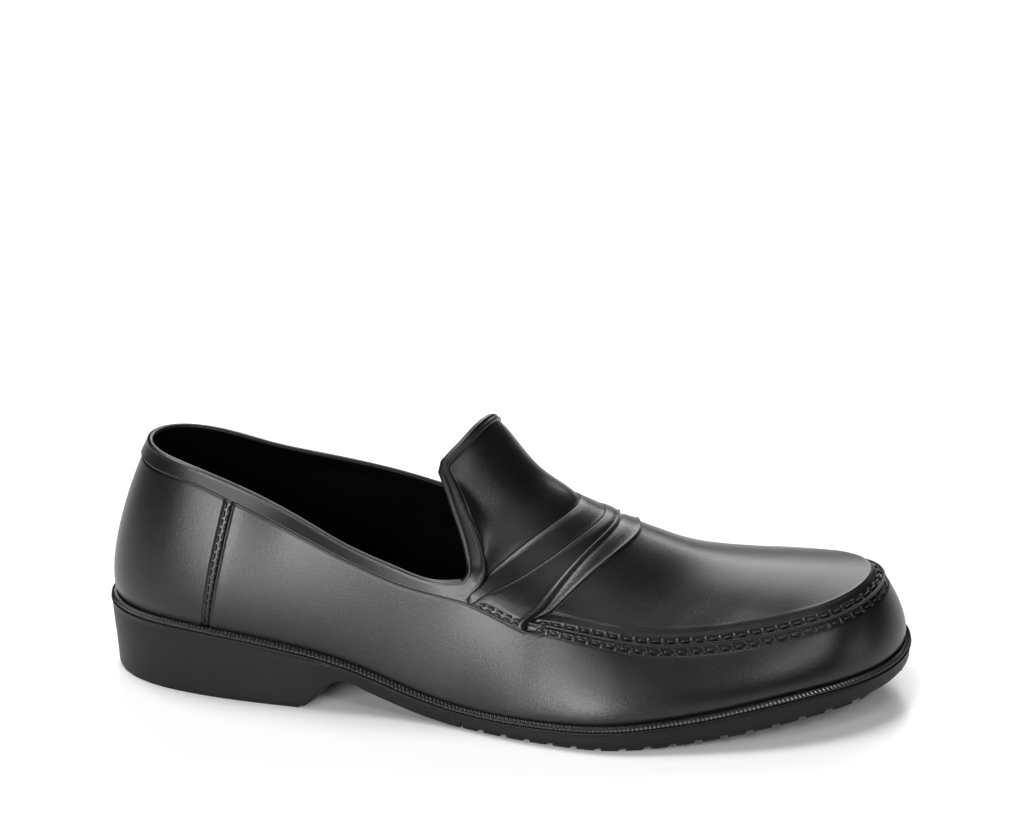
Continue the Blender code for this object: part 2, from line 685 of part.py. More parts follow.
BAR_PITCH = 0.0302
FORE_GROOVES = [(TREAD_START + 0.0205 + BAR_PITCH * i, TREAD_START + 0.0302 + BAR_PITCH * i) for i in range(16)]
FORE_ROWS = [TREAD_START + 0.0025] + with_edges(FORE_GROOVES) + [0.9985]
FORE_ACROSS = (-1, -0.5, -0.055, -0.04, 0.04, 0.055, 0.5, 1)


def fore_lug(s, t):
    cut = any(a + 0.0011 - 1e-6 <= s <= b - 0.0011 + 1e-6 for a, b in FORE_GROOVES) or abs(t) <= 0.04
    return tread_face(s) * HEEL_HEIGHT + (LUG_DEPTH if cut else 0.0)


# Materials and objects
def rubber(name, grey, roughness):
    material = bpy.data.materials.new(name)
    material.use_nodes = True
    shader = next(n for n in material.node_tree.nodes if n.type == "BSDF_PRINCIPLED")
    shader.inputs["Base Color"].default_value = (grey, grey, grey * 1.02, 1)
    shader.inputs["Roughness"].default_value = roughness
    return material


shoe = bpy.data.collections.new("rubber_overshoe")
bpy.context.scene.collection.children.link(shoe)
upper_rubber = rubber("upper_rubber", 0.012, 0.42)
sole_rubber = rubber("sole_rubber", 0.010, 0.50)
welt_rubber = rubber("welt_rubber", 0.011, 0.45)
tread_rubber = rubber("tread_rubber", 0.010, 0.58)

upper_mesh().object("upper", shoe, upper_rubber)
welt_mesh().object("welt", shoe, welt_rubber)
sole_mesh().object("sole", shoe, sole_rubber)
pad_mesh(HEEL_ROWS, HEEL_ACROSS, lambda s: 0.0014, heel_lug, pad_top).object("heel_tread", shoe, tread_rubber)
pad_mesh(FORE_ROWS, FORE_ACROSS, lambda s: 0.0020, fore_lug, pad_top).object("forefoot_tread", shoe, tread_rubber)
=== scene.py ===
# Looks of the rubber overshoe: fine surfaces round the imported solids, moulded stitches, rope welt and rubber.
# The driving sizes, tables and lines are those of the part's own source, so each piece lies where its
# solid does.
import functools
import math

import bpy
import numpy as np
from mathutils import Matrix, Vector


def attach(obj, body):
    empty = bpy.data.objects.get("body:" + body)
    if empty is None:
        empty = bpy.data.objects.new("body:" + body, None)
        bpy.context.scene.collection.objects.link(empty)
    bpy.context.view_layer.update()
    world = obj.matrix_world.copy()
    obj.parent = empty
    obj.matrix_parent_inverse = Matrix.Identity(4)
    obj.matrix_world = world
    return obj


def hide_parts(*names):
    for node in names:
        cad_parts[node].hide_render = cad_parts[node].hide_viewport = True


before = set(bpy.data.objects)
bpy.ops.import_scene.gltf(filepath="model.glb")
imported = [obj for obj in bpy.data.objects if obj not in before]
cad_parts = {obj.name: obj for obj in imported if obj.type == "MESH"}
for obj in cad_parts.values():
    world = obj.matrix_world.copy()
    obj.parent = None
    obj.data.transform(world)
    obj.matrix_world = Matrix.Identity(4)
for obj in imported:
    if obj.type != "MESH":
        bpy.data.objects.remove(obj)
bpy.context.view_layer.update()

# Driving sizes
LENGTH = 0.305
BALL_WIDTH = 0.114
INSTEP_HEIGHT = 0.104
HEEL_HEIGHT = 0.0295
WALL = 0.0015
BAND_RELIEF = 0.0009
TONGUE_RELIEF = 0.0003
PLUG_RELIEF = 0.0008
SEAM_RELIEF = 0.0006
STRAP_RELIEFS = (0.0009, 0.0014, 0.0010, 0.0015)
BAND_WIDTH_SIDE = 0.0068
BAND_WIDTH_TOP = 0.0032
BAND_END = 0.93
# Groove under the band, rolls along the tongue's band and the collar's rim, and how far its edge rounds off
BAND_GROOVE = 0.00022
TONGUE_ROLL, RIM_ROLL, RIM_ROUND = 0.0003, 0.00014, 0.0004
GAP = 0.0003
WELT_DEPTH = 0.0022
WELT_HEIGHT = 0.0016
FOOT_INSET = WELT_DEPTH + GAP
LEDGE_INSET = 0.0042
TREAD_HEIGHT = 0.0017

# Where the outlines turn round the heel and the toe, as shares of the length
HEEL_ROUND, TOE_ROUND, ROUND_POWER = 0.21, 0.27, 2.5
TOP_BACK, TOP_FRONT = 0.0531, 0.9672
TOP_HEEL_ROUND, TOP_TOE_ROUND, TOP_ROUND_POWER = 0.14, 0.34, 2.3
COLLAR_BACK, THROAT, COLLAR_ROUND = 0.0643, 0.4770, 0.28

# Stations of the throat corner, of the strap's back and front line and of the forefoot tread's start
THROAT_STATION, STRAP_BACK, STRAP_FRONT = 0.467, 0.472, 0.552
TREAD_START = 0.4735

# Sole edge: share of the length; outer edge, inner edge and centre line by ball width; top by heel height
EDGE = (
    (0.0, 0.3096, 0.3061, -0.0018, 0.9966), (0.12, 0.3061, 0.3114, 0.0026, 0.9831),
    (0.25, 0.3421, 0.3088, 0.0, 0.861), (0.314, 0.3561, 0.2912, -0.0088, 0.7322),
    (0.36, 0.3667, 0.2825, -0.0149, 0.5831), (0.4, 0.3825, 0.2825, -0.0175, 0.4475),
    (0.45, 0.4105, 0.2947, -0.0184, 0.3254), (0.52, 0.4667, 0.3368, -0.0175, 0.2881),
    (0.6, 0.5158, 0.3982, -0.0088, 0.3085), (0.66, 0.5298, 0.4386, 0.0, 0.3424),
    (0.72, 0.507, 0.4596, 0.0088, 0.3966), (0.78, 0.4737, 0.4649, 0.0175, 0.4746),
    (0.84, 0.4456, 0.4684, 0.0281, 0.5729), (0.9, 0.4237, 0.4737, 0.0395, 0.6441),
    (1.0, 0.4096, 0.4825, 0.0579, 0.6712))

# Underside: share of the length; tread face and inner floor by heel height
UNDERSIDE = (
    (0.0, 0.0, 0.2034), (0.235, 0.0, 0.2034), (0.262, 0.0, 0.2305), (0.274, 0.0678, 0.3186),
    (0.29, 0.2441, 0.4475), (0.305, 0.3729, 0.5288), (0.319, 0.4237, 0.5559), (0.334, 0.3966, 0.5288),
    (0.356, 0.2983, 0.4339), (0.395, 0.1627, 0.2983), (0.433, 0.0576, 0.2271), (0.465, 0.0085, 0.2102),
    (0.5, 0.0, 0.2034), (0.64, 0.0, 0.2034), (0.7, 0.0203, 0.2237), (0.77, 0.0881, 0.2915),
    (0.844, 0.1898, 0.3932), (0.897, 0.2644, 0.4678), (0.95, 0.3153, 0.5186), (1.0, 0.339, 0.5424))

# Top of the wall: station; outer and inner half width by ball width; outer and inner height by instep height.
# It is the band's lower line behind the throat, and the seam round the toe.
TOP_LINE = (
    (0.0, 0.2061, 0.2061, 0.8269, 0.8269), (0.085, 0.2105, 0.213, 0.802, 0.79),
    (0.146, 0.229, 0.227, 0.748, 0.732), (0.229, 0.2851, 0.2763, 0.6712, 0.6587),
    (0.304, 0.3158, 0.2982, 0.5846, 0.5913), (0.39, 0.3386, 0.3114, 0.5019, 0.5144),
    (0.467, 0.3535, 0.314, 0.4644, 0.4567), (0.516, 0.369, 0.3175, 0.4365, 0.429),
    (0.552, 0.382, 0.3228, 0.417, 0.409), (0.577, 0.3912, 0.3289, 0.412, 0.402),
    (0.62, 0.4, 0.3421, 0.396, 0.386), (0.66, 0.4, 0.3509, 0.3769, 0.3692),
    (0.7, 0.3947, 0.3596, 0.3606, 0.3558), (0.75, 0.3807, 0.3684, 0.351, 0.351),
    (0.8, 0.3649, 0.3772, 0.3538, 0.3558), (0.85, 0.3553, 0.386, 0.3654, 0.3673),
    (0.9, 0.3509, 0.3947, 0.3808, 0.3827), (0.95, 0.3728, 0.4123, 0.4019, 0.4029),
    (1.0, 0.386, 0.4386, 0.426, 0.426))

# How far the strap's ends hang below the top line: station, drop by instep height
STRAP_END = ((0.467, 0.0), (0.5, 0.011), (0.53, 0.0235), (0.552, 0.031), (0.558, 0.027), (0.577, 0.0))

# How far forward the inner side's features lie: station, share of the length
SKEW = ((0.0, 0.0), (0.2, 0.0066), (0.467, 0.05), (0.55, 0.052), (0.7, 0.0328), (0.85, 0.0131), (1.0, 0.0))

# Outward swell of the wall: share of the length, swell by ball width
SWELL = (
    (0.0, 0.0351), (0.1, 0.0298), (0.25, 0.0175), (0.4, 0.007), (0.52, 0.0105), (0.66, 0.0263),
    (0.78, 0.0333), (0.9, 0.0281), (1.0, 0.0211))

# Collar edge: share of the way to the throat; half widths by ball width; heights by instep height
COLLAR = (
    (0.0, 0.1877, 0.1912, 0.8885, 0.8885), (0.15, 0.187, 0.189, 0.8587, 0.8385),
    (0.3, 0.204, 0.207, 0.804, 0.776), (0.5, 0.254, 0.25, 0.715, 0.706),
    (0.65, 0.2877, 0.2772, 0.6308, 0.6481), (0.8, 0.3114, 0.2895, 0.5654, 0.5769),
    (0.92, 0.3298, 0.2965, 0.5308, 0.5346), (1.0, 0.3377, 0.3, 0.5433, 0.5385))

# Tongue edge: share of the way from the ridge out to the throat; x by length, half width by ball
# width, height by instep height
TONGUE = (
    (0.0, 0.483, 0.0, 1.004), (0.13, 0.4815, 0.0509, 0.9965), (0.25, 0.4775, 0.0982, 0.9745),
    (0.35, 0.4695, 0.1421, 0.9435), (0.44, 0.4607, 0.1825, 0.902), (0.53, 0.4705, 0.2158, 0.8481),
    (0.62, 0.4813, 0.2491, 0.7865), (0.72, 0.4934, 0.2807, 0.7231), (0.82, 0.502, 0.3105, 0.6577),
    (0.92, 0.5052, 0.3281, 0.5923), (1.0, 0.4922, 0.3377, 0.5433))
TONGUE_SHEAR = (
    (0.0, 0.3), (0.35, 0.29), (0.44, 0.28), (0.53, 0.25), (0.62, 0.22), (0.72, 0.19), (0.82, 0.15),
    (0.92, 0.12), (1.0, 0.12))

# Vamp sections: station; ridge x by length; arch angle; plug edge inset by ball width and rise by instep
# height
RIDGE = (
    (0.467, 0.4944, 70.0, 0.0061, 0.0442), (0.472, 0.596, 68.0, 0.007, 0.0433),
    (0.5, 0.614, 66.0, 0.01, 0.0423), (0.587, 0.6715, 55.0, 0.033, 0.035),
    (0.65, 0.734, 49.0, 0.0368, 0.0327), (0.73, 0.7967, 45.0, 0.0368, 0.0327),
    (0.8, 0.841, 45.0, 0.0368, 0.0308), (0.9, 0.9016, 45.0, 0.0368, 0.0269),
    (1.0, 0.9534, 45.0, 0.0368, 0.0212))

# Lines over the strap: share of its width at the wall, at the plug edge and at the ridge, how late the
# line turns, and relief
RELIEF_A, RELIEF_B, RELIEF_C, RELIEF_D = STRAP_RELIEFS
STRAP_ROWS = (
    (0.0, 0.0, 0.0, 1.0, TONGUE_RELIEF), (0.02, 0.02, 0.02, 1.0, RELIEF_A),
    (0.05, 0.18, 0.41, 4.0, RELIEF_A), (0.07, 0.21, 0.44, 4.0, RELIEF_B), (0.5, 0.5, 0.53, 1.0, RELIEF_B),
    (0.93, 0.82, 0.62, 1.5, RELIEF_B), (0.95, 0.845, 0.65, 1.5, RELIEF_C),
    (0.97, 0.92, 0.82, 1.5, (RELIEF_C + RELIEF_D) / 2), (0.985, 0.98, 0.975, 1.0, RELIEF_D),
    (1.0, 1.0, 1.0, 1.0, PLUG_RELIEF))

# Station of the vamp above each station of the top line: the strap's front edge leans forward
VAMP_STATION = (
    (0.467, 0.467), (0.472, 0.472), (0.552, 0.587), (0.577, 0.604), (0.66, 0.668), (0.75, 0.752),
    (1.0, 1.0))

# Ridge line of the vamp: x by length, height by instep height
CREST = (
    (0.4852, 1.0), (0.5049, 0.9288), (0.541, 0.8115), (0.5836, 0.718), (0.623, 0.656), (0.6721, 0.587),
    (0.7115, 0.542), (0.7508, 0.5038), (0.7934, 0.4808), (0.8328, 0.4702), (0.8689, 0.4635),
    (0.9115, 0.4558), (0.9534, 0.4462))


# Curves through the tables
def smooth(xs, ys):
    """Smooth curve through the points that never passes beyond its neighbours."""
    xs, ys = np.array(xs, float), np.array(ys, float)
    step = np.diff(xs)
    slope = np.diff(ys) / step
    lean = np.zeros(len(xs))
    lean[0], lean[-1] = slope[0], slope[-1]
    for i in range(1, len(xs) - 1):
        if slope[i - 1] * slope[i] > 0:
            a, b = 2 * step[i] + step[i - 1], step[i] + 2 * step[i - 1]
            lean[i] = (a + b) / (a / slope[i - 1] + b / slope[i])

    def at(x):
        i = int(np.clip(np.searchsorted(xs, x) - 1, 0, len(xs) - 2))
        t = min(max((x - xs[i]) / step[i], 0.0), 1.0)
        return ((2 * t**3 - 3 * t**2 + 1) * ys[i] + (t**3 - 2 * t**2 + t) * step[i] * lean[i]
                + (3 * t**2 - 2 * t**3) * ys[i + 1] + (t**3 - t**2) * step[i] * lean[i + 1])

    return functools.cache(at)


def spline(xs, ys):
    """Natural cubic spline through the points."""
    xs, ys = np.array(xs, float), np.array(ys, float)
    n, step = len(xs), np.diff(xs)
    grid, right = np.zeros((n, n)), np.zeros(n)
    grid[0, 0] = grid[-1, -1] = 1
    for i in range(1, n - 1):
        grid[i, i - 1:i + 2] = step[i - 1], 2 * (step[i - 1] + step[i]), step[i]
        right[i] = 6 * ((ys[i + 1] - ys[i]) / step[i] - (ys[i] - ys[i - 1]) / step[i - 1])
    bend = np.linalg.solve(grid, right)

    def at(x):
        i = int(np.clip(np.searchsorted(xs, x) - 1, 0, n - 2))
        h, d, e = step[i], xs[i + 1] - x, x - xs[i]
        return ((bend[i] * d**3 + bend[i + 1] * e**3) / (6 * h)
                + (ys[i] / h - bend[i] * h / 6) * d + (ys[i + 1] / h - bend[i + 1] * h / 6) * e)

    return functools.cache(at)


def columns(rows, fit):
    table = np.array(rows, float)
    return [fit(table[:, 0], table[:, k]) for k in range(1, table.shape[1])]


edge_outer, edge_inner, edge_centre, edge_top = columns(EDGE, spline)
edge_half = {-1: edge_outer, 1: edge_inner}
tread_face, inner_floor = columns(UNDERSIDE, smooth)
top_outer, top_inner, top_outer_z, top_inner_z = columns(TOP_LINE, smooth)
top_half, top_z = {-1: top_outer, 1: top_inner}, {-1: top_outer_z, 1: top_inner_z}
(skew_of,) = columns(SKEW, smooth)
(swell_of,) = columns(SWELL, spline)
(strap_drop,) = columns(STRAP_END, smooth)
collar_outer, collar_inner, collar_outer_z, collar_inner_z = columns(COLLAR, spline)
collar_half, collar_z = {-1: collar_outer, 1: collar_inner}, {-1: collar_outer_z, 1: collar_inner_z}
tongue_x, tongue_y, tongue_z = columns(TONGUE, spline)
(tongue_shear,) = columns(TONGUE_SHEAR, smooth)
ridge_x, arch_angle, plug_inset, plug_rise = columns(RIDGE, smooth)
(crest_z,) = columns(CREST, spline)
(vamp_station,) = columns(VAMP_STATION, smooth)


def unit(way):
    """A direction, or each row's, at length 1."""
    return way / (np.linalg.norm(way) if way.ndim == 1 else np.linalg.norm(way, axis=1)[:, None])


def round_end(s, back, front, power):
    share = 1.0
    if back and s < back:
        share *= math.sqrt(max(0.0, 1 - (1 - s / back) ** power))
    if front and s > 1 - front:
        share *= math.sqrt(max(0.0, 1 - ((s - 1 + front) / front) ** power))
    return share


# Step along the stations for a direction, how round the wall swells, and how round the vamp is on its ridge
STATION_STEP = 0.004
SWELL_POWER = 0.75
RIDGE_ROUND = 0.2
# The sole's side belongs to the heel up to the first station, and its foot is drawn in more from the second
HEEL_END, FORE_START = 0.35, 0.42


# Lines of the shoe. side is -1 for the wearer's outer side and 1 for the inner side.
@functools.cache
def sole_edge(s, side, inset=0.0, z=None):
    centre = edge_centre(s) * BALL_WIDTH
    reach = edge_half[side](s) * BALL_WIDTH - side * centre - inset
    turn = round_end(s, HEEL_ROUND, TOE_ROUND, ROUND_POWER)
    x = inset + (LENGTH - 2 * inset) * s
    return np.array([x, centre + side * reach * turn, edge_top(s) * HEEL_HEIGHT if z is None else z])


@functools.cache
def top_line(s, side, inset=0.0, rise=0.0):
    centre = edge_centre(s) * BALL_WIDTH
    half = top_half[side](s) * BALL_WIDTH
    reach = half - side * centre - inset
    turn = round_end(s, TOP_HEEL_ROUND, TOP_TOE_ROUND, TOP_ROUND_POWER)
    back, front = TOP_BACK * LENGTH + inset, TOP_FRONT * LENGTH - inset
    x = back + (front - back) * s + (skew_of(s) * LENGTH if side > 0 else 0)
    z = top_z[side](s) * INSTEP_HEIGHT + rise
    return np.array([x, centre + side * reach * turn, z])


@functools.cache
def outward(s, side):
    """Plan direction square to the sole's edge."""
    if s < 1e-6 or s > 1 - 1e-6:
        return np.array([-1.0 if s < 0.5 else 1.0, 0.0])
    a, b = sole_edge(max(s - STATION_STEP, 0), side), sole_edge(min(s + STATION_STEP, 1), side)
    way = np.array([b[1] - a[1], a[0] - b[0]]) * -side
    return way / np.hypot(*way)


def wall_point(s, side, v):
    """Share v of the way up the wall, from the sole's ledge to the top line."""
    low, high = sole_edge(s, side, FOOT_INSET), top_line(s, side)
    point = low + (high - low) * v
    w = v ** SWELL_POWER
    point[:2] += outward(s, side) * 4 * w * (1 - w) * swell_of(s) * BALL_WIDTH
    return point


@functools.cache
def wall_end(s, side):
    """Share of the wall's height where the band, the strap's end or the seam begins."""
    if not THROAT_STATION < s < STRAP_END[-1][0]:
        return 1.0
    rise = top_line(s, side)[2] - sole_edge(s, side)[2]
    return 1 - strap_drop(s) * INSTEP_HEIGHT / rise


@functools.cache
def collar(s, side):
    u = min(s / THROAT_STATION, 1.0)
    half = collar_half[side](u) * BALL_WIDTH
    turn = round_end(u, COLLAR_ROUND, 0, ROUND_POWER)
    x = (COLLAR_BACK + (THROAT - COLLAR_BACK) * u + (skew_of(s) if side > 0 else 0)) * LENGTH
    return np.array([x, side * half * turn, collar_z[side](u) * INSTEP_HEIGHT])


def tongue_edge(c):
    """Edge of the tongue for c from -1, the outer throat corner, over the ridge to 1."""
    a, side = abs(c), 1 if c > 0 else -1
    y = side * tongue_y(a) * BALL_WIDTH
    corner = collar(THROAT_STATION, side)
    y *= 1 + (abs(corner[1]) / (tongue_y(1) * BALL_WIDTH) - 1) * a**2
    point = np.array([tongue_x(a) * LENGTH + tongue_shear(a) * y, y, tongue_z(a) * INSTEP_HEIGHT])
    return point + (corner - point) * a**6


@functools.cache
def plug_edge(s, side):
    return top_line(s, side, plug_inset(s) * BALL_WIDTH, plug_rise(s) * INSTEP_HEIGHT)


def bow(a):
    """Nearly straight from the ridge outwards, and rounded over the ridge."""
    return (math.hypot(a, RIDGE_ROUND) - RIDGE_ROUND) / (math.hypot(1, RIDGE_ROUND) - RIDGE_ROUND)


def vamp(s, c):
    """Vamp surface at station s, for c from -1, the outer plug edge, over the ridge to 1."""
    a = abs(c)
    low = plug_edge(s, 1 if c > 0 else -1)
    ridge = ridge_x(s) * LENGTH
    centre = edge_centre(s) * BALL_WIDTH * min(max((s - THROAT_STATION) / 0.2, 0), 1)
    full = math.radians(arch_angle(s))
    across = math.sin(a * full) / math.sin(full)
    up = (math.cos(a * full) - math.cos(full)) / (1 - math.cos(full))
    x = low[0] + (ridge - low[0]) * (1 - bow(a))
    z = low[2] + (crest_z(ridge / LENGTH) * INSTEP_HEIGHT - low[2]) * up
    return np.array([x, centre + (low[1] - centre) * across, z])


def strap_station(share):
    return STRAP_BACK + (STRAP_FRONT - STRAP_BACK) * share


def strap_line(line, c):
    """A line over the strap, from its share of the strap's width at the plug edge to that at the ridge."""
    share = line[2] + (line[1] - line[2]) * abs(c) ** line[3]
    return vamp(vamp_station(strap_station(share)), c)


def band_line(c):
    """Lower line of the tongue's band."""
    edge = tongue_edge(BAND_END * c)
    along = unit(tongue_edge(BAND_END * c + 0.01) - tongue_edge(BAND_END * c - 0.01))
    way = strap_line(STRAP_ROWS[0], c) - edge
    way -= along * (way @ along)
    width = BAND_WIDTH_TOP + (BAND_WIDTH_SIDE - BAND_WIDTH_TOP) * min(max((abs(c) - 0.42) / 0.45, 0), 1)
    return edge + way * width / np.linalg.norm(way)


def tongue_field(v, c):
    """Between the band line and the strap's back line."""
    start, end = band_line(c), strap_line(STRAP_ROWS[0], c)
    point = start + (end - start) * v
    straight = band_line(0) + (strap_line(STRAP_ROWS[0], 0) - band_line(0)) * v
    point[2] += (crest_z(straight[0] / LENGTH) * INSTEP_HEIGHT - straight[2]) * (1 - c * c) * 4 * v * (1 - v)
    return point


Y_MID = 0.5 * (min(sole_edge(s, -1)[1] for s in np.linspace(0, 1, 201))
               + max(sole_edge(s, 1)[1] for s in np.linspace(0, 1, 201)))


def place_object(name, data):
    """A new object in the scene."""
    obj = bpy.data.objects.new(name, data)
    bpy.context.scene.collection.objects.link(obj)
    return obj


# Meshes
class Mesh:
    """Points and faces, with the range of the faces that get the inner material."""

    def __init__(self):
        self.points, self.faces, self.hidden = [], [], (0, 0)

    def line(self, points):
        start = len(self.points)
        self.points.extend(np.array(p, float) for p in points)
        return list(range(start, len(self.points)))

    def strip(self, a, b, closed=False):
        """Faces between two lines, facing the right hand of a walk along them with b above a."""
        for i in range(len(a) if closed else len(a) - 1):
            j = (i + 1) % len(a)
            face = [a[i], a[j], b[j], b[i]]
            face = [v for k, v in enumerate(face) if v != face[k - 1]]
            if len(face) > 2:
                self.faces.append(face)

    def normals(self):
        points = np.array(self.points)
        normals = np.zeros_like(points)
        for count in (3, 4):
            faces = np.array([f for f in self.faces if len(f) == count], int).reshape(-1, count)
            a, b = points[faces[:, 0]], points[faces[:, 2]]
            if count == 4:
                cross = np.cross(b - a, points[faces[:, 3]] - points[faces[:, 1]])
            else:
                cross = np.cross(points[faces[:, 1]] - a, b - a)
            for k in range(count):
                np.add.at(normals, faces[:, k], cross)
        length = np.linalg.norm(normals, axis=1)[:, None]
        return normals / np.where(length == 0, 1, length)

    def object(self, name, *materials):
        mesh = bpy.data.meshes.new(name)
        shift = np.array([LENGTH / 2, Y_MID, 0])
        mesh.from_pydata([tuple(p - shift) for p in self.points], [], self.faces)
        mesh.validate()
        for polygon in mesh.polygons:
            polygon.use_smooth = True
        for material in materials:
            mesh.materials.append(material)
        for polygon in list(mesh.polygons)[slice(*self.hidden)]:
            polygon.material_index = 1
        return place_object(name, mesh)


def ring(point_of, stations):
    """Points once round: outer side from heel to toe, then back along the inner side."""
    outer = [point_of(s, -1) for s in stations]
    inner = [point_of(s, 1) for s in stations[-2:0:-1]]
    return outer + inner


def refine(values, parts):
    """Each step of the list cut into equal parts."""
    fine = [values[0]]
    for a, b in zip(values, values[1:]):
        fine += [a + (b - a) * k / parts for k in range(1, parts + 1)]
    return fine


def bump(x, centre, width, power=2):
    return math.exp(-abs((x - centre) / width) ** power)


def ease(x):
    x = min(max(x, 0.0), 1.0)
    return x * x * (3 - 2 * x)


# Power of a bump with steep flanks
STEEP = 6

# Seams of the upper, in metres from the line that they follow
LIP_STEP = 0.0005
STITCH_ABOVE, STITCH_BELOW = 0.0017, 0.0020
PIT_DEPTH, PIT_HALF = 0.0007, 0.00125
RIDGE_HALF = 0.00055
STRAP_STITCHES = (0.0016, 0.0037)
# Creases and rims of the strap: place on its table, half width there, height
STRAP_FOLDS = (
    (0.5, 0.22, -0.0004), (2.5, 0.17, -0.0004), (4.1, 0.75, 0.0002), (4.95, 0.1, 0.00045),
    (6.05, 0.3, -0.0004), (8.0, 0.2, 0.0004))
STRAP_TROUGH, STRAP_TROUGH_HALF = 0.0004, 0.0021
# How softly the strap's end bends over the plug edge, and how far the mend of the fold beside it reaches
STRAP_SOFT = 0.8
SOFT_ROUNDS, INNER_ROUNDS = 14, 6
CORNER_REACH = 0.011
COUNTER_STATION, COUNTER_ROW = 0.1405, 0.00078
COUNTER_DEPTH, COUNTER_HALF = 0.0006, 0.0017
COUNTER_LIP, COUNTER_LIP_PLACE = 0.00045, 0.0023


def seam_relief(d):
    """Relief at distance d above the seam's ridge, or below it where negative."""
    row = STITCH_ABOVE if d > 0 else STITCH_BELOW
    return SEAM_RELIEF * bump(d, 0, RIDGE_HALF) - PIT_DEPTH * bump(abs(d), row, PIT_HALF, STEEP)


def counter_relief(s):
    """Recess of the counter's two stitch rows, and the low lip in front of them."""
    across = (s - COUNTER_STATION) * LENGTH
    recess = -COUNTER_DEPTH * bump(across, 0, COUNTER_HALF, STEEP)
    return recess + COUNTER_LIP * bump(across, COUNTER_LIP_PLACE, 0.0005)


@functools.cache
def wall_height(s, side):
    return float(np.linalg.norm(top_line(s, side) - sole_edge(s, side, FOOT_INSET)))


@functools.cache
def strap_hang(s, side):
    return (1 - wall_end(s, side)) * wall_height(s, side)


@functools.cache
def flange_end(s, side):
    """Where the flange or band above the wall's top line ends."""
    if s < THROAT_STATION:
        return collar(s, side)
    if s <= STRAP_BACK:
        return tongue_field((s - THROAT_STATION) / (STRAP_BACK - THROAT_STATION), side)
    share = (s - STRAP_BACK) / (STRAP_FRONT - STRAP_BACK)
    if share <= 1:
        return vamp(vamp_station(strap_station(plug_share(share))), side)
    return vamp(vamp_station(s), side)


def plug_share(share):
    """Share of the strap's width at the plug edge, for a share at the wall."""
    return float(np.interp(share, [row[0] for row in STRAP_ROWS], [row[1] for row in STRAP_ROWS]))


def section(s, side, d):
    """Point of the upper's section at distance d above the top line, or below it where negative."""
    if d <= 0:
        return wall_point(s, side, 1 + d / wall_height(s, side))
    top = top_line(s, side)
    way = flange_end(s, side) - top
    return top + way * d / np.linalg.norm(way)


def flange_runs(s, side, high):
    """Lengths from the lip to the top line, where the lip lies below it, and from there to high."""
    low, top = LIP_STEP - strap_hang(s, side), top_line(s, side)
    first = float(np.linalg.norm(section(s, side, low) - top)) if low < 0 else 0.0
    return first, float(np.linalg.norm(high - top))


def flange_point(s, side, high, g, soft):
    """Point at the share g of the way from the lip to high, with its distance above the top line."""
    low, top = LIP_STEP - strap_hang(s, side), top_line(s, side)
    first = section(s, side, low)
    first_run, last_run = flange_runs(s, side, high)
    way = g * (first_run + last_run) - first_run if low < 0 else low + g * (last_run - low)
    if way < 0:
        point = first + (top - first) * (1 + way / first_run)
    else:
        point = top + (high - top) * way / last_run
    curve = first * (1 - g) ** 2 + top * 2 * g * (1 - g) + high * g * g
    return point + (curve - point) * soft, way


def strap_side(s, side, above):
    """Point of the strap's end at that distance above its lower edge."""
    high = flange_end(s, side)
    g = (above - LIP_STEP) / sum(flange_runs(s, side, high))
    return flange_point(s, side, high, g, STRAP_SOFT)[0]


# Fine stations
REAR = refine([0, 0.001, 0.004, 0.014, 0.032, 0.058, 0.09, 0.125], 5)
REAR += [COUNTER_STATION + k * 0.0009 for k in range(-10, 13)]
REAR += refine([0.165, 0.21, 0.245, 0.276, 0.305, 0.334, 0.365, 0.40, 0.435, 0.460], 5) + [0.464]
FIELD = (
    0, 0.01, 0.022, 0.04, 0.065, 0.1, 0.15, 0.21, 0.28, 0.36, 0.45, 0.54, 0.63, 0.72, 0.8, 0.87, 0.92,
    0.955, 0.98)
STRAP = (
    0, 0.15, 0.28, 0.4, 0.5, 0.6, 0.72, 0.85, 1, 1.3, 1.6, 1.85, 2, 2.15, 2.28, 2.4, 2.5, 2.6, 2.72, 2.85,
    3, 3.3, 3.65, 4, 4.3, 4.6, 4.76, 4.84, 4.9, 4.95, 5, 5.15, 5.35, 5.6, 5.8, 6, 6.1, 6.25, 6.5, 7, 7.35,
    7.65, 7.82, 7.92, 8, 8.1, 8.25, 8.5, 8.75)
FRONT = [0.552, 0.5545, 0.557, 0.560, 0.5645, 0.570] + refine(
    [0.577, 0.60, 0.63, 0.66, 0.69, 0.72, 0.75, 0.78, 0.81, 0.84, 0.87, 0.895, 0.92, 0.94, 0.958, 0.973], 4)
FRONT += [0.9765, 0.980, 0.9835, 0.9865, 0.989, 0.9912, 0.9932, 0.995, 0.9965, 0.9977, 0.9987, 0.9994, 1.0]
LOW_WALL = tuple(k / 15 for k in range(16))
TOP_ZONE = 0.0062
DROPS = (
    0.0056, 0.005, 0.0044, 0.0038, 0.0034, 0.0031, 0.0028, 0.0024, 0.002, 0.0016, 0.0012, 0.00095, 0.00075,
    0.00055, 0.00035, 0.0002, 0.0001, 0.0)
LIP = ((0.25, 0.55), (0.6, 0.9), (1.0, 1.0))
FLANGE = (0.05, 0.1, 0.15, 0.2, 0.25, 0.31, 0.37, 0.43, 0.48, 0.53, 0.58, 0.64, 0.72, 0.8, 0.87, 0.93, 0.97)
ARCH_HALF = (
    0, 0.05, 0.1, 0.15, 0.2, 0.26, 0.32, 0.38, 0.44, 0.5, 0.56, 0.62, 0.68, 0.74, 0.8, 0.85, 0.89, 0.92,
    0.942, 0.96, 0.972, 0.981, 0.988, 0.994, 1)
ARCH = [-c for c in ARCH_HALF[:0:-1]] + list(ARCH_HALF)
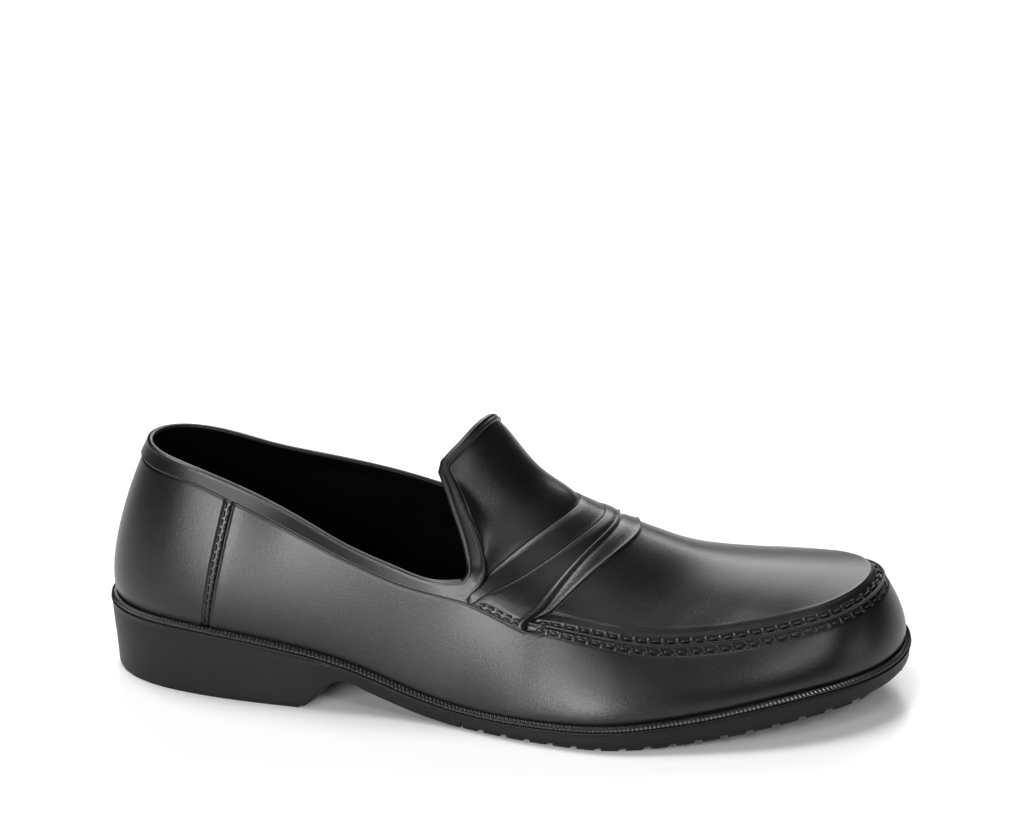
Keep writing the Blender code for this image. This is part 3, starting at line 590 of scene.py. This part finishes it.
BAND = (
    0.015, 0.03, 0.05, 0.075, 0.11, 0.15, 0.2, 0.27, 0.37, 0.5, 0.63, 0.74, 0.82, 0.87, 0.91, 0.94, 0.965,
    0.985, 1.0)


def strap_values(q, folds=1.0):
    """Shares and turn of the strap's line q, counted along the table, with its relief."""
    i = min(int(q), len(STRAP_ROWS) - 2)
    a, b, t = STRAP_ROWS[i], STRAP_ROWS[i + 1], q - i
    line = tuple(a[k] + (b[k] - a[k]) * t for k in range(4))
    if q < 4:
        relief = float(np.interp(q, (0, 2, 4), [STRAP_ROWS[k][4] for k in (0, 2, 4)]))
    else:
        relief = a[4] + (b[4] - a[4]) * (1 - (1 - t) ** 2.2 if b[4] > a[4] else t**2.2)
    for middle, half, height in STRAP_FOLDS:
        relief += folds * height * bump(q, middle, half)
    return line, relief


def strap_rise(q, above):
    """Relief of the strap's end at that distance above its lower edge, where the folds run out."""
    trough = bump(above, sum(STRAP_STITCHES) / 2, STRAP_TROUGH_HALF, STEEP)
    trough = trough * ease((q - 3.0) / 0.3) * ease((4.9 - q) / 0.3)
    return strap_values(q, ease((above - LIP_STEP) / 0.005))[1] - STRAP_TROUGH * trough


def distances(points, path):
    """Distance of each point from the nearest point of the path."""
    a, b = path[:-1], path[1:]
    way = b - a
    size = np.maximum((way**2).sum(axis=1), 1e-18)
    best = np.full(len(points), 1e9)
    for start, run, n in zip(a, way, size):
        t = np.clip((points - start) @ run / n, 0, 1)
        best = np.minimum(best, np.linalg.norm(points - start - t[:, None] * run, axis=1))
    return best


def upper_surface():
    """The fine outer surface with its relief, its foot and its collar loop."""
    mesh, relief = Mesh(), []

    def put(points, rises):
        ids = mesh.line(points)
        relief.extend(rises)
        return ids

    field = [THROAT_STATION + (STRAP_BACK - THROAT_STATION) * v for v in FIELD]
    strap = [strap_station(strap_values(q)[0][0]) for q in STRAP]
    rows = field + strap + FRONT
    stations = REAR + rows
    n, throat = len(stations) - 1, len(REAR)

    def both_sides(values_of):
        """Points and rises round the shoe, from a function of row and side."""
        pairs = [values_of(k, -1) for k in range(n + 1)] + [values_of(k, 1) for k in range(n - 1, 0, -1)]
        return [p for p, _ in pairs], [r for _, r in pairs]

    def overlay(k):
        """Relief above the end of the wall, or None where the seam's own relief runs on."""
        j = k - throat - len(field)
        if j < 0:
            return BAND_RELIEF
        if j < len(STRAP):
            return strap_values(STRAP[j], 0)[1] * (1 if STRAP[j] <= 8 else 1 - 0.4 * (STRAP[j] - 8))
        return None

    def wall_rise(k, side, drop):
        s = stations[k]
        rise = counter_relief(s)
        fade = ease((s - 0.5505) / 0.004)
        groove = (1 - fade) * BAND_GROOVE * bump(drop, 0.0004, 0.0004)
        return rise + (fade * seam_relief(-drop - strap_hang(s, side)) - groove)

    def low_row(u):
        def values(k, side):
            s = stations[k]
            height = wall_height(s, side)
            point = wall_point(s, side, max(u, 0) * (wall_end(s, side) - TOP_ZONE / height))
            if u < 0:
                point = point - [0, 0, WELT_HEIGHT - 0.0002]
            return point, counter_relief(s)
        return values

    def top_row(drop):
        def values(k, side):
            s = stations[k]
            v = wall_end(s, side) - drop / wall_height(s, side)
            return wall_point(s, side, v), wall_rise(k, side, drop)
        return values

    def lip_row(share, height):
        def values(k, side):
            s = stations[k]
            d = LIP_STEP * share - strap_hang(s, side)
            over = overlay(k)
            rise = seam_relief(d) if over is None else over * height
            return section(s, side, d), rise
        return values

    loops = [put(*both_sides(low_row(-1)))]
    loops += [put(*both_sides(low_row(u))) for u in LOW_WALL]
    loops += [put(*both_sides(top_row(drop))) for drop in DROPS]
    loops += [put(*both_sides(lip_row(*step))) for step in LIP]
    for a, b in zip(loops, loops[1:]):
        mesh.strip(a, b, closed=True)
    lip = loops[-1]

    # rows over the shoe, each from the lip's outer side over the ridge to its inner side
    grid, plug_ids = [], []
    for j, s in enumerate(rows):
        k, q = throat + j, None
        if j < len(field):
            arch, rises = [tongue_field(FIELD[j], c) for c in ARCH], [TONGUE_RELIEF] * len(ARCH)
            if FIELD[j] > 0:
                rises = [TONGUE_RELIEF - 0.00012 * bump(FIELD[j], 0.03, 0.03)] * len(ARCH)
        elif j < len(field) + len(STRAP):
            q = STRAP[j - len(field)]
            line, rise = strap_values(q)
            arch, rises = [strap_line(line, c) for c in ARCH], [rise] * len(ARCH)
        else:
            arch = [vamp(vamp_station(s), c) for c in ARCH]
            rises = [PLUG_RELIEF] * len(ARCH)
        if s == 1.0:
            tip = put([arch[0]], [PLUG_RELIEF])[0]
            ids, plug = [tip] * len(ARCH), [tip]
        else:
            ids = put(arch, rises)
            plug = ids
        if q is None and j >= len(field):
            plug_ids += plug
        sides = []
        for side, start in ((-1, lip[k]), (1, lip[(2 * n - k) % (2 * n)])):
            if s == 1.0 and side > 0:
                sides.append(sides[0])
                continue
            high = arch[0] if side < 0 else arch[-1]
            points, rises = [], []
            for g in FLANGE:
                point, way = flange_point(s, side, high, g, 0 if q is None else STRAP_SOFT)
                points.append(point)
                if j < len(field):
                    rises.append(TONGUE_RELIEF + (BAND_RELIEF - TONGUE_RELIEF) * ease(1 - 2 * g))
                elif q is None:
                    rises.append(seam_relief(way))
                else:
                    rise = strap_rise(q, way + strap_hang(s, side))
                    if q > 8:
                        rise += (seam_relief(way) - rise) * ease((q - 8) / 0.7)
                    rises.append(rise)
            sides.append(put(points, rises))
        grid.append([lip[k]] + sides[0] + ids + sides[1][::-1] + [lip[(2 * n - k) % (2 * n)]])
    for low, high in zip(grid, grid[1:]):
        mesh.strip(high, low)

    # the strap bends softly over the plug edge
    seams = (len(FLANGE) + 1, len(grid[0]) - len(FLANGE) - 2)
    soft = np.array([max(bump(i, seam, 5) for seam in seams) for i in range(len(grid[0]))])[1:-1, None]
    for ids in grid[len(field):len(field) + len(STRAP)]:
        row = np.array([mesh.points[v] for v in ids])
        for _ in range(SOFT_ROUNDS):
            row[1:-1] += soft * ((row[2:] + row[:-2]) / 2 - row[1:-1])
        for v, point in zip(ids[1:-1], row[1:-1]):
            mesh.points[v] = point

    # rounded edge of the plug
    edge = [vamp(vamp_station(s), -1) for s in FRONT] + [vamp(vamp_station(s), 1) for s in FRONT[-2::-1]]
    far = distances(np.array([mesh.points[v] for v in plug_ids]), np.array(edge))
    for v, d in zip(plug_ids, far):
        t = min(d / 0.0007, 1)
        relief[v] = PLUG_RELIEF * math.sqrt(max(0, 1 - (1 - t) ** 2)) + 0.00015 * bump(d, 0.0008, 0.0005)

    # band behind the throat and round the tongue
    rear = list(range(2 * n - throat, 2 * n)) + list(range(throat + 1))
    low = [lip[k] for k in rear]
    spots = [(stations[min(k, 2 * n - k)], 1 if k > n else -1) for k in rear]
    flange_c = [-1 + (1 - BAND_END) * k / (len(FLANGE) + 1) for k in range(1, len(FLANGE) + 1)]
    around = flange_c + [BAND_END * c for c in ARCH] + [-c for c in flange_c[::-1]]
    start = low + grid[0][1:-1]
    end = [collar(s, side) for s, side in spots] + [tongue_edge(c) for c in around]
    on_tongue = [0.0] * len(low) + [ease((1 - abs(c)) / 0.09) for c in around]
    rows_up = []
    for share in BAND:
        points, rises = [], []
        for v, stop, tongue in zip(start, end, on_tongue):
            way = stop - mesh.points[v]
            width = np.linalg.norm(way)
            points.append(mesh.points[v] + way * share)
            rise = relief[v] + (BAND_RELIEF - relief[v]) * math.sin(math.pi / 2 * min(share / 0.075, 1))
            rise += TONGUE_ROLL * tongue * bump(share * width, 0.0009, 0.0005)
            rise += RIM_ROLL * bump((1 - share) * width, 0.0007, 0.0004)
            rise -= RIM_ROUND * bump((1 - share) * width, 0, 0.0003)
            rises.append(rise)
        rows_up.append(put(points, rises))
    for a, b in zip([start] + rows_up, rows_up):
        mesh.strip(a, b, closed=True)
    return mesh, np.array(relief), loops[0], rows_up


def smoothed(mesh, normals, rounds):
    """Normals averaged with their neighbours', so that the wall's inner face doesn't cross the outer one."""
    ends = np.array([(face[k - 1], face[k]) for face in mesh.faces for k in range(len(face))])
    for _ in range(rounds):
        total = normals.copy()
        np.add.at(total, ends[:, 0], normals[ends[:, 1]])
        np.add.at(total, ends[:, 1], normals[ends[:, 0]])
        normals = total / np.maximum(np.linalg.norm(total, axis=1), 1e-9)[:, None]
    return normals


def wall_way(s, side):
    """Outward direction of the wall at its top line."""
    along = top_line(s + STATION_STEP, side) - top_line(s - STATION_STEP, side)
    return unit(np.cross(along, wall_point(s, side, 0.9) - wall_point(s, side, 0.6)) * -side)


def upper_look():
    mesh, relief, foot, band = upper_surface()
    points, normals = np.array(mesh.points), mesh.normals()
    inner = smoothed(mesh, normals, INNER_ROUNDS)
    for side in (-1, 1):
        # beside the strap's back corner the surface folds, so its inner face follows the wall
        far = np.linalg.norm(points - top_line(STRAP_BACK, side), axis=1)
        share = np.exp(-((far / CORNER_REACH) ** 4))[:, None]
        inner = inner * (1 - share) + wall_way(STRAP_BACK, side) * share
    inner = unit(inner)
    for some in (normals, inner):
        some[foot, 2] = 0
        some[foot] = unit(some[foot])
    shell = Mesh()
    shell.points = list(points + normals * relief[:, None]) + list(points - inner * WALL)
    count = len(points)
    shell.faces = list(mesh.faces) + [[v + count for v in reversed(face)] for face in mesh.faces]
    shell.hidden = (len(mesh.faces), len(shell.faces))
    rim = band[-1]
    up = unit(points[rim] - points[band[-4]])
    middle = shell.line(points[rim] - normals[rim] * (WALL - BAND_RELIEF) / 2 + up * 0.00045)
    shell.strip(rim, middle, closed=True)
    shell.strip(middle, [v + count for v in rim], closed=True)
    shell.strip([v + count for v in foot], foot, closed=True)
    return shell


# Moulded stitches: length, width and height of the beads, and of the bridges between the pits round the toe
BEAD_SQUARE = 0.7
TOE_BEAD, TOE_PITCH = (0.0030, 0.0012, 0.00085), 0.0053
TOE_ROWS = ((STITCH_ABOVE, 0.5585), (-STITCH_BELOW, 0.5610))
BRIDGE, BRIDGE_SQUARE = (0.0016, 0.0030, PIT_DEPTH - 0.00002), 0.35
STRAP_BEAD, STRAP_PITCH, STRAP_SPAN = (0.0028, 0.0012, 0.0007), 0.0037, (0.4800, 0.5440)
COUNTER_BEAD, COUNTER_PITCH, COUNTER_SPAN = (0.0027, 0.00105, 0.0008), 0.0034, (0.02, 0.985)
# Steps across a row, and along it at a bridge
ROW_STEP, BRIDGE_STEP = 0.0004, 0.002


def bead(mesh, centre, along, out, length, width, height, turns=(9, 12), square=BEAD_SQUARE):
    """Adds a closed oval bead: centre on the surface, its long axis along, its top towards out."""
    along = unit(along)
    out = unit(out - along * (out @ along))
    across = np.cross(out, along)
    rows = []
    for i in range(turns[0] + 1):
        t = math.pi * i / turns[0]
        x = math.copysign(abs(math.cos(t)) ** square, math.cos(t)) * length / 2
        r = math.sin(t) ** square if 0 < i < turns[0] else 0
        if r == 0:
            rows.append(mesh.line([centre + along * x]) * turns[1])
            continue
        spots = [2 * math.pi * k / turns[1] for k in range(turns[1])]
        bend = [[math.copysign(abs(w) ** (square / BEAD_SQUARE), w) for w in (math.cos(a), math.sin(a))]
                for a in spots]
        rows.append(mesh.line([centre + along * x + across * u * r * width / 2 + out * v * r * height
                               for u, v in bend]))
    for low, high in zip(rows, rows[1:]):
        mesh.strip(high, low, closed=True)


def even_spots(point_of, path, pitch, lead=0.5):
    """Values along the path, evenly spaced in length, with the pitch fitted to it."""
    points = np.array([point_of(*p) for p in path])
    length = np.concatenate([[0], np.cumsum(np.linalg.norm(np.diff(points, axis=0), axis=1))])
    count = max(1, round(length[-1] / pitch - 2 * lead + 1))
    step = length[-1] / (count - 1 + 2 * lead)
    spots = []
    for k in range(count):
        at = (k + lead) * step
        i = min(int(np.searchsorted(length, at)) - 1, len(path) - 2)
        t = (at - length[i]) / (length[i + 1] - length[i])
        spots.append((path[i], path[i + 1], t))
    return spots


def blend_pairs(a, b, t):
    """A place between two (station, side) pairs, which may lie on either side of the toe."""
    if a[1] == b[1]:
        return a[0] + (b[0] - a[0]) * t, a[1]
    way = (1 - a[0]) + (1 - b[0])
    at = way * t
    return (a[0] + at, a[1]) if at < 1 - a[0] else (2 - a[0] - at, b[1])


def frame_at(point_of, spot, across):
    """Point, direction along the row and outward normal at a spot of a row over the surface."""
    a, b, t = spot
    point = point_of(*a) * (1 - t) + point_of(*b) * t
    along = point_of(*b) - point_of(*a)
    out = np.cross(along, across)
    middle = np.array([point[0], 0.0, 0.02])
    if out @ (point - middle) < 0:
        out = -out
    return point, unit(along), unit(out)


def across_row(line_of, s, side, row):
    """Direction across a row, which line_of gives as a point for a distance from its seam."""
    return line_of(s, side, row + ROW_STEP) - line_of(s, side, row - ROW_STEP)


def strap_place(s):
    """Place on the strap's table of a station."""
    share = (s - STRAP_BACK) / (STRAP_FRONT - STRAP_BACK)
    return float(np.interp(share, [row[0] for row in STRAP_ROWS], range(len(STRAP_ROWS))))


def bead_row(mesh, point_of, path, pitch, across_of, lift_of, size, lead=0.5):
    """Adds beads along a path over the surface, each raised by lift_of, and gives back their spots."""
    spots = even_spots(point_of, path, pitch, lead)
    for spot in spots:
        at, side = blend_pairs(*spot)
        centre, along, out = frame_at(point_of, spot, across_of(at, side))
        bead(mesh, centre + out * lift_of(at), along, out, *size)
    return spots


def stitches():
    mesh = Mesh()
    # double row round the toe, from strap to strap
    for row, first in TOE_ROWS:
        path = [(s, -1) for s in np.linspace(first, 1, 160)]
        path += [(s, 1) for s in np.linspace(1, first, 160)[1:]]
        point_of = lambda s, side: section(s, side, row)
        across_of = lambda s, side: across_row(section, s, side, row)
        spots = bead_row(mesh, point_of, path, TOE_PITCH, across_of, lambda s: -PIT_DEPTH, TOE_BEAD)
        for a, b in zip(spots, spots[1:]):
            s, side = blend_pairs(blend_pairs(*a), blend_pairs(*b), 0.5)
            back, front = max(0.5, s - BRIDGE_STEP), min(1.0, s + BRIDGE_STEP)
            share = 0.5 if s + BRIDGE_STEP < 1 else (s - back) / (1 - back)
            centre, along, out = frame_at(point_of, ((back, side), (front, side), share), across_of(s, side))
            bead(mesh, centre - out * PIT_DEPTH, along, out, *BRIDGE, turns=(8, 16), square=BRIDGE_SQUARE)
    for side in (-1, 1):
        # double row along each end of the strap
        for row in STRAP_STITCHES:
            bead_row(mesh, lambda s, side: strap_side(s, side, row),
                     [(s, side) for s in np.linspace(*STRAP_SPAN, 60)], STRAP_PITCH,
                     lambda s, side: across_row(strap_side, s, side, row),
                     lambda s: strap_rise(strap_place(s), row), STRAP_BEAD)
    for side in (-1, 1):
        # double row down each side of the counter, the rows shifted by a quarter of the pitch
        for shift, lead in ((-COUNTER_ROW, 0.5), (COUNTER_ROW, 0.75)):
            s = COUNTER_STATION + shift / LENGTH
            bead_row(mesh, lambda v, side: wall_point(s, side, v),
                     [(v, side) for v in np.linspace(*COUNTER_SPAN, 60)], COUNTER_PITCH,
                     lambda v, side: wall_point(s + 0.001, side, v) - wall_point(s - 0.001, side, v),
                     lambda v: -COUNTER_DEPTH, COUNTER_BEAD, lead)
    return mesh


# Welt: a rope strip of slanting teeth
ROPE_PITCH, ROPE_RELIEF, ROPE_SAMPLES = 0.0016, 0.0010, 8
# Section of the strip: inset, height by the strip's height, share of the teeth's relief
WELT_SECTION = (
    (WELT_DEPTH, -1.0, 0), (0.0003, -1.0, 0), (0.0002, -0.86, 0.35), (0.0002, -0.6, 1), (0.0004, -0.38, 1),
    (0.0008, -0.18, 1), (0.0013, -0.04, 1), (0.0019, 0.0, 0.4), (WELT_DEPTH, 0.0, 0))
DENSE = [0.5 - 0.5 * math.cos(math.pi * k / 400) for k in range(401)]


def dense_ring(inset, height):
    points = np.array(ring(lambda s, side: sole_edge(s, side, inset), DENSE))
    points[:, 2] += height * WELT_HEIGHT
    return np.vstack([points, points[:1]])


def welt_look():
    mesh = Mesh()
    guide = dense_ring(0.0003, -0.5)
    length = np.concatenate([[0], np.cumsum(np.linalg.norm(np.diff(guide, axis=0), axis=1))])
    teeth = round(length[-1] / ROPE_PITCH)
    at = np.arange(teeth * ROPE_SAMPLES) / ROPE_SAMPLES * length[-1] / teeth
    loops = []
    for k, (inset, height, weight) in enumerate(WELT_SECTION):
        points = dense_ring(inset, height)
        points = np.stack([np.interp(at, length, points[:, i]) for i in range(3)], axis=1)
        if weight:
            along = np.roll(points, -1, axis=0) - np.roll(points, 1, axis=0)
            out = unit(np.stack([along[:, 1], -along[:, 0], np.zeros(len(points))], axis=1))
            tilt = k / (len(WELT_SECTION) - 1)
            way = out * (1 - tilt * 0.8) + np.array([0, 0, tilt])
            wave = 0.5 + 0.5 * np.cos(2 * math.pi * (at / length[-1] * teeth + tilt * 1.1))
            points += way * (weight * ROPE_RELIEF * (wave**1.6 - 0.55))[:, None]
        loops.append(mesh.line(points))
    for a, b in zip(loops, loops[1:] + loops[:1]):
        mesh.strip(a, b, closed=True)
    return mesh


# Sole
FORE_SKIRT = 0.0008
FLOOR_CUTS = 8
SOLE_FINE = refine([0, 0.001, 0.004, 0.014, 0.032, 0.058, 0.09, 0.125, 0.165, 0.21, 0.245, 0.262], 4)
SOLE_FINE += refine([0.2635, 0.276, 0.29, 0.305, 0.319, 0.334, 0.356, 0.38, 0.41, 0.44, 0.472], 5)
SOLE_FINE += refine([TREAD_START, 0.5, 0.54, 0.58, 0.62, 0.66, 0.7, 0.73, 0.76, 0.79, 0.82, 0.85, 0.88, 0.905,
                     0.93, 0.95, 0.967, 0.981, 0.991, 0.9975, 0.9994, 1.0], 4)

# Side of the sole: share of its height; share of the foot's inset, how much less in front; more inset; rise
SOLE_SIDE = (
    (0.0, 1.0, 0.0, 0.0014, 0.0), (0.0, 1.0, 0.0, 0.0007, 0.0), (0.008, 1.0, 0.0, 0.0002, 0.0),
    (0.03, 0.98, 0.12, 0.0, 0.0), (0.06, 0.95, 0.17, 0.0, 0.0), (0.12, 0.9, 0.2, 0.0, 0.0),
    (0.2, 0.85, 0.45, 0.0, 0.0), (0.3, 0.75, 0.45, 0.0, 0.0), (0.43, 0.66, 0.4, 0.0, 0.0),
    (0.6, 0.4, 0.2, 0.0, 0.0), (0.8, 0.12, 0.0, 0.0001, 0.0), (0.9, 0.0, 0.0, 0.00015, 0.0),
    (1.0, 0.0, 0.0, 0.0002, -0.0009), (1.0, 0.0, 0.0, -0.0001, -0.0006), (1.0, 0.0, 0.0, -0.0002, -0.0003),
    (1.0, 0.0, 0.0, 0.0001, -0.0001), (1.0, 0.0, 0.0, 0.0006, 0.0))


def under_z(s):
    """Height of the sole's underside, where the treads lie against it."""
    face = tread_face(s) * HEEL_HEIGHT
    if s <= HEEL_END:
        return max(face, TREAD_HEIGHT + GAP)
    return face + (TREAD_HEIGHT + GAP if s >= TREAD_START else 0)


def foot_inset(s):
    """How far in the bottom edge of the sole's side lies."""
    return 0.0012 + 0.0008 * ease((s - 0.40) / 0.08)


def ledge_z(s):
    return edge_top(s) * HEEL_HEIGHT - WELT_HEIGHT - GAP


def skirt(s):
    """How far the sole's side reaches down past the treads' top."""
    if s > HEEL_END:
        return FORE_SKIRT * ease((s - TREAD_START) / 0.01)
    return under_z(s) - max(tread_face(s) * HEEL_HEIGHT, 0.0005)


def under_line(more):
    return lambda s, side: sole_edge(s, side, foot_inset(s) + more, under_z(s))


def side_line(share, part, fore_part, more, drop):
    def point_of(s, side):
        low = under_z(s) - skirt(s)
        inset = foot_inset(s) * (part - fore_part * ease((s - FORE_START) / 0.06)) + more
        return sole_edge(s, side, inset, low + (ledge_z(s) - low) * share + drop)
    return point_of


def floor_line(more, rise):
    return lambda s, side: sole_edge(s, side, LEDGE_INSET + more, inner_floor(s) * HEEL_HEIGHT + rise)


def sole_look():
    mesh = Mesh()
    lines = [under_line(0.006), under_line(0.0016)] + [side_line(*row) for row in SOLE_SIDE]
    lines.append(lambda s, side: sole_edge(s, side, LEDGE_INSET, ledge_z(s)))
    lines += [floor_line(0.001, 0.0015), floor_line(0.0014, 0.0004), floor_line(0.003, 0.0)]
    loops = [mesh.line(ring(f, SOLE_FINE)) for f in lines]
    for a, b in zip(loops[:-4], loops[1:-3]):
        mesh.strip(a, b, closed=True)
    for loop, up in ((loops[0], False), (loops[-1], True)):
        if up:
            mesh.hidden = (len(mesh.faces), None)
            for a, b in zip(loops[-4:], loops[-3:]):
                mesh.strip(a, b, closed=True)
        half = len(loop) // 2
        rows = [[loop[0]] * (FLOOR_CUTS + 1)]
        for i in range(1, half):
            a, b = mesh.points[loop[i]], mesh.points[loop[-i]]
            between = mesh.line([a + (b - a) * k / FLOOR_CUTS for k in range(1, FLOOR_CUTS)])
            rows.append([loop[i]] + between + [loop[-i]])
        rows.append([loop[half]] * (FLOOR_CUTS + 1))
        for first, second in zip(rows, rows[1:]):
            mesh.strip(*((second, first) if up else (first, second)))
    return mesh


# Materials
def node_of(tree, kind):
    return next(node for node in tree.nodes if node.type == kind)


def new_material(name, grey, roughness, specular):
    material = bpy.data.materials.new(name)
    material.use_nodes = True
    shader = node_of(material.node_tree, "BSDF_PRINCIPLED")
    shader.inputs["Base Color"].default_value = (grey, grey, grey * 1.02, 1)
    shader.inputs["Roughness"].default_value = roughness
    shader.inputs["Specular IOR Level"].default_value = specular
    return material, shader


def noise(tree, scale, detail, place, rough=0.5):
    node = tree.nodes.new("ShaderNodeTexNoise")
    node.inputs["Scale"].default_value = scale
    node.inputs["Detail"].default_value = detail
    node.inputs["Roughness"].default_value = rough
    tree.links.new(place, node.inputs["Vector"])
    return node.outputs["Fac"]


def spread(tree, value, low, high, start=0.3, end=0.7):
    node = tree.nodes.new("ShaderNodeMapRange")
    for name, number in (("From Min", start), ("From Max", end), ("To Min", low), ("To Max", high)):
        node.inputs[name].default_value = number
    tree.links.new(value, node.inputs["Value"])
    return node.outputs["Result"]


def add_bumps(tree, shader, height, strength, distance):
    bumps = tree.nodes.new("ShaderNodeBump")
    bumps.inputs["Strength"].default_value = strength
    bumps.inputs["Distance"].default_value = distance
    tree.links.new(height, bumps.inputs["Height"])
    tree.links.new(bumps.outputs["Normal"], shader.inputs["Normal"])


def rubber(name, grey, roughness, specular=0.4, grain=0.10, cell=0.0007):
    """Moulded rubber: a fine grain, faint cloudiness of its gloss and a slight bloom in its black."""
    material, shader = new_material(name, grey, roughness, specular)
    tree = material.node_tree
    place = tree.nodes.new("ShaderNodeTexCoord").outputs["Object"]
    fine = noise(tree, 1 / cell, 3.0, place, 0.6)
    cloud = noise(tree, 28, 3.0, place)
    bloom = noise(tree, 90, 4.0, place, 0.6)
    tree.links.new(spread(tree, cloud, roughness - 0.015, roughness + 0.015), shader.inputs["Roughness"])
    ramp = tree.nodes.new("ShaderNodeValToRGB")
    for stop, position, red, blue in zip(ramp.color_ramp.elements, (0.3, 0.75), (0.8, 1.5), (0.82, 1.52)):
        stop.position, stop.color = position, (grey * red, grey * red, grey * blue, 1)
    tree.links.new(bloom, ramp.inputs["Fac"])
    tree.links.new(ramp.outputs["Color"], shader.inputs["Base Color"])
    add_bumps(tree, shader, fine, grain, 0.0003)
    return material


def pale_floor():
    material, shader = new_material("floor", 0.93, 0.30, 0.5)
    tree = material.node_tree
    shader.inputs["Base Color"].default_value = (0.93, 0.93, 0.93, 1)
    place = tree.nodes.new("ShaderNodeTexCoord").outputs["Object"]
    add_bumps(tree, shader, noise(tree, 300, 2.0, place), 0.05, 0.0005)
    return material


upper_rubber = rubber("upper_rubber_look", 0.004, 0.30, grain=0.30, cell=0.0006)
stitch_rubber = rubber("stitch_rubber_look", 0.005, 0.30, grain=0.04)
welt_rubber = rubber("welt_rubber_look", 0.004, 0.26, specular=0.6, grain=0.02)
inner_rubber = rubber("inner_rubber_look", 0.003, 0.8, specular=0.05)
sole_rubber = rubber("sole_rubber_look", 0.004, 0.46, specular=0.22, grain=0.14)
tread_rubber = rubber("tread_rubber_look", 0.004, 0.55, specular=0.22, grain=0.16)

# Pieces
for name, made, material, slot, nodes in (
        ("upper_look", upper_look(), upper_rubber, "upper_rubber", ("upper",)),
        ("welt_look", welt_look(), welt_rubber, "welt_rubber", ("welt",)),
        ("sole_look", sole_look(), sole_rubber, "sole_rubber", ("sole",)),
        ("stitches", stitches(), stitch_rubber, "upper_rubber", ())):
    piece = made.object(name, material, inner_rubber)
    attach(piece, "root")
    if nodes:
        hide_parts(*nodes)
    print(name, len(made.faces), "faces")

for name in ("heel_tread", "forefoot_tread"):
    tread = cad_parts[name]
    tread.data.materials.clear()
    tread.data.materials.append(tread_rubber)
    edges = tread.modifiers.new("edges", "BEVEL")
    edges.width, edges.segments, edges.limit_method = 0.0003, 2, "ANGLE"

# Stage, lights and camera
FLOOR_HALF, FLOOR_LEVEL = 4, -0.0001
floor = bpy.data.meshes.new("floor")
corners = ((-1, -1), (1, -1), (1, 1), (-1, 1))
floor.from_pydata([(x * FLOOR_HALF, y * FLOOR_HALF, FLOOR_LEVEL) for x, y in corners], [], [(0, 1, 2, 3)])
floor.materials.append(pale_floor())
floor = place_object("floor", floor)

AIM = Vector((0, -Y_MID, 0.03))


def softbox(name, direction, distance, size, radiance):
    """An area light that faces the shoe from that direction, as bright as that to the eye."""
    light = bpy.data.lights.new(name, "AREA")
    light.shape, light.size, light.size_y = "RECTANGLE", *size
    light.energy = radiance * math.pi * size[0] * size[1]
    obj = place_object(name, light)
    way = Vector(direction).normalized()
    obj.location = AIM + way * distance
    obj.rotation_euler = way.to_track_quat("Z", "Y").to_euler()


# The flank mirrors the satin floor at a shallow angle, and that mirrors the low box.
for name, direction, distance, size, radiance in (
        ("front_box", (-0.21, -0.87, 0.44), 2.0, (0.6, 0.6), 6.0),
        ("front_box_high", (-0.43, -0.75, 0.50), 2.0, (0.5, 0.5), 8.0),
        ("low_box", (-0.36, -0.92, 0.10), 2.0, (0.9, 0.32), 27.0),
        ("back_box", (-0.05, 0.70, 0.70), 1.6, (1.0, 0.55), 4.5),
        ("back_box_low", (-0.03, 0.90, 0.42), 1.6, (1.0, 0.35), 6.5),
        ("top_box", (-0.30, 0.10, 0.95), 2.0, (0.9, 0.9), 12.5),
        ("toe_box", (0.55, -0.59, 0.60), 2.0, (0.5, 0.5), 9.5),
        ("toe_box_low", (0.97, -0.17, 0.16), 2.0, (0.5, 0.4), 3.5),
        ("top_box_front", (0.30, -0.30, 0.90), 2.0, (0.6, 0.6), 2.5)):
    softbox(name, direction, distance, size, radiance)

world = bpy.data.worlds.new("world")
world.use_nodes = True
background = node_of(world.node_tree, "BACKGROUND")
background.inputs["Color"].default_value = (1, 1, 1, 1)
background.inputs["Strength"].default_value = 0.02
bpy.context.scene.world = world
bpy.context.scene.view_settings.view_transform = "Standard"

AZIMUTH, ELEVATION, ROLL = (math.radians(a) for a in (12.187, 25.549, -2.227))
AIM_RIGHT, AIM_UP, DISTANCE = 0.006, 0.073, 1.553
back = Vector((math.sin(AZIMUTH) * math.cos(ELEVATION), -math.cos(AZIMUTH) * math.cos(ELEVATION),
               math.sin(ELEVATION)))
place = AIM + back * DISTANCE
right = Vector((0, 0, 1)).cross(back).normalized()
aim = AIM + right * AIM_RIGHT + back.cross(right) * AIM_UP
away = (place - aim).normalized()
right = Vector((0, 0, 1)).cross(away).normalized()
up = away.cross(right)
turned = right * math.cos(ROLL) + up * math.sin(ROLL), up * math.cos(ROLL) - right * math.sin(ROLL)
camera = place_object("camera", bpy.data.cameras.new("camera"))
camera.data.lens, camera.data.sensor_width = 144.91, 36
camera.matrix_world = Matrix((turned[0], turned[1], away)).transposed().to_4x4()
camera.location = place
bpy.context.scene.camera = camera
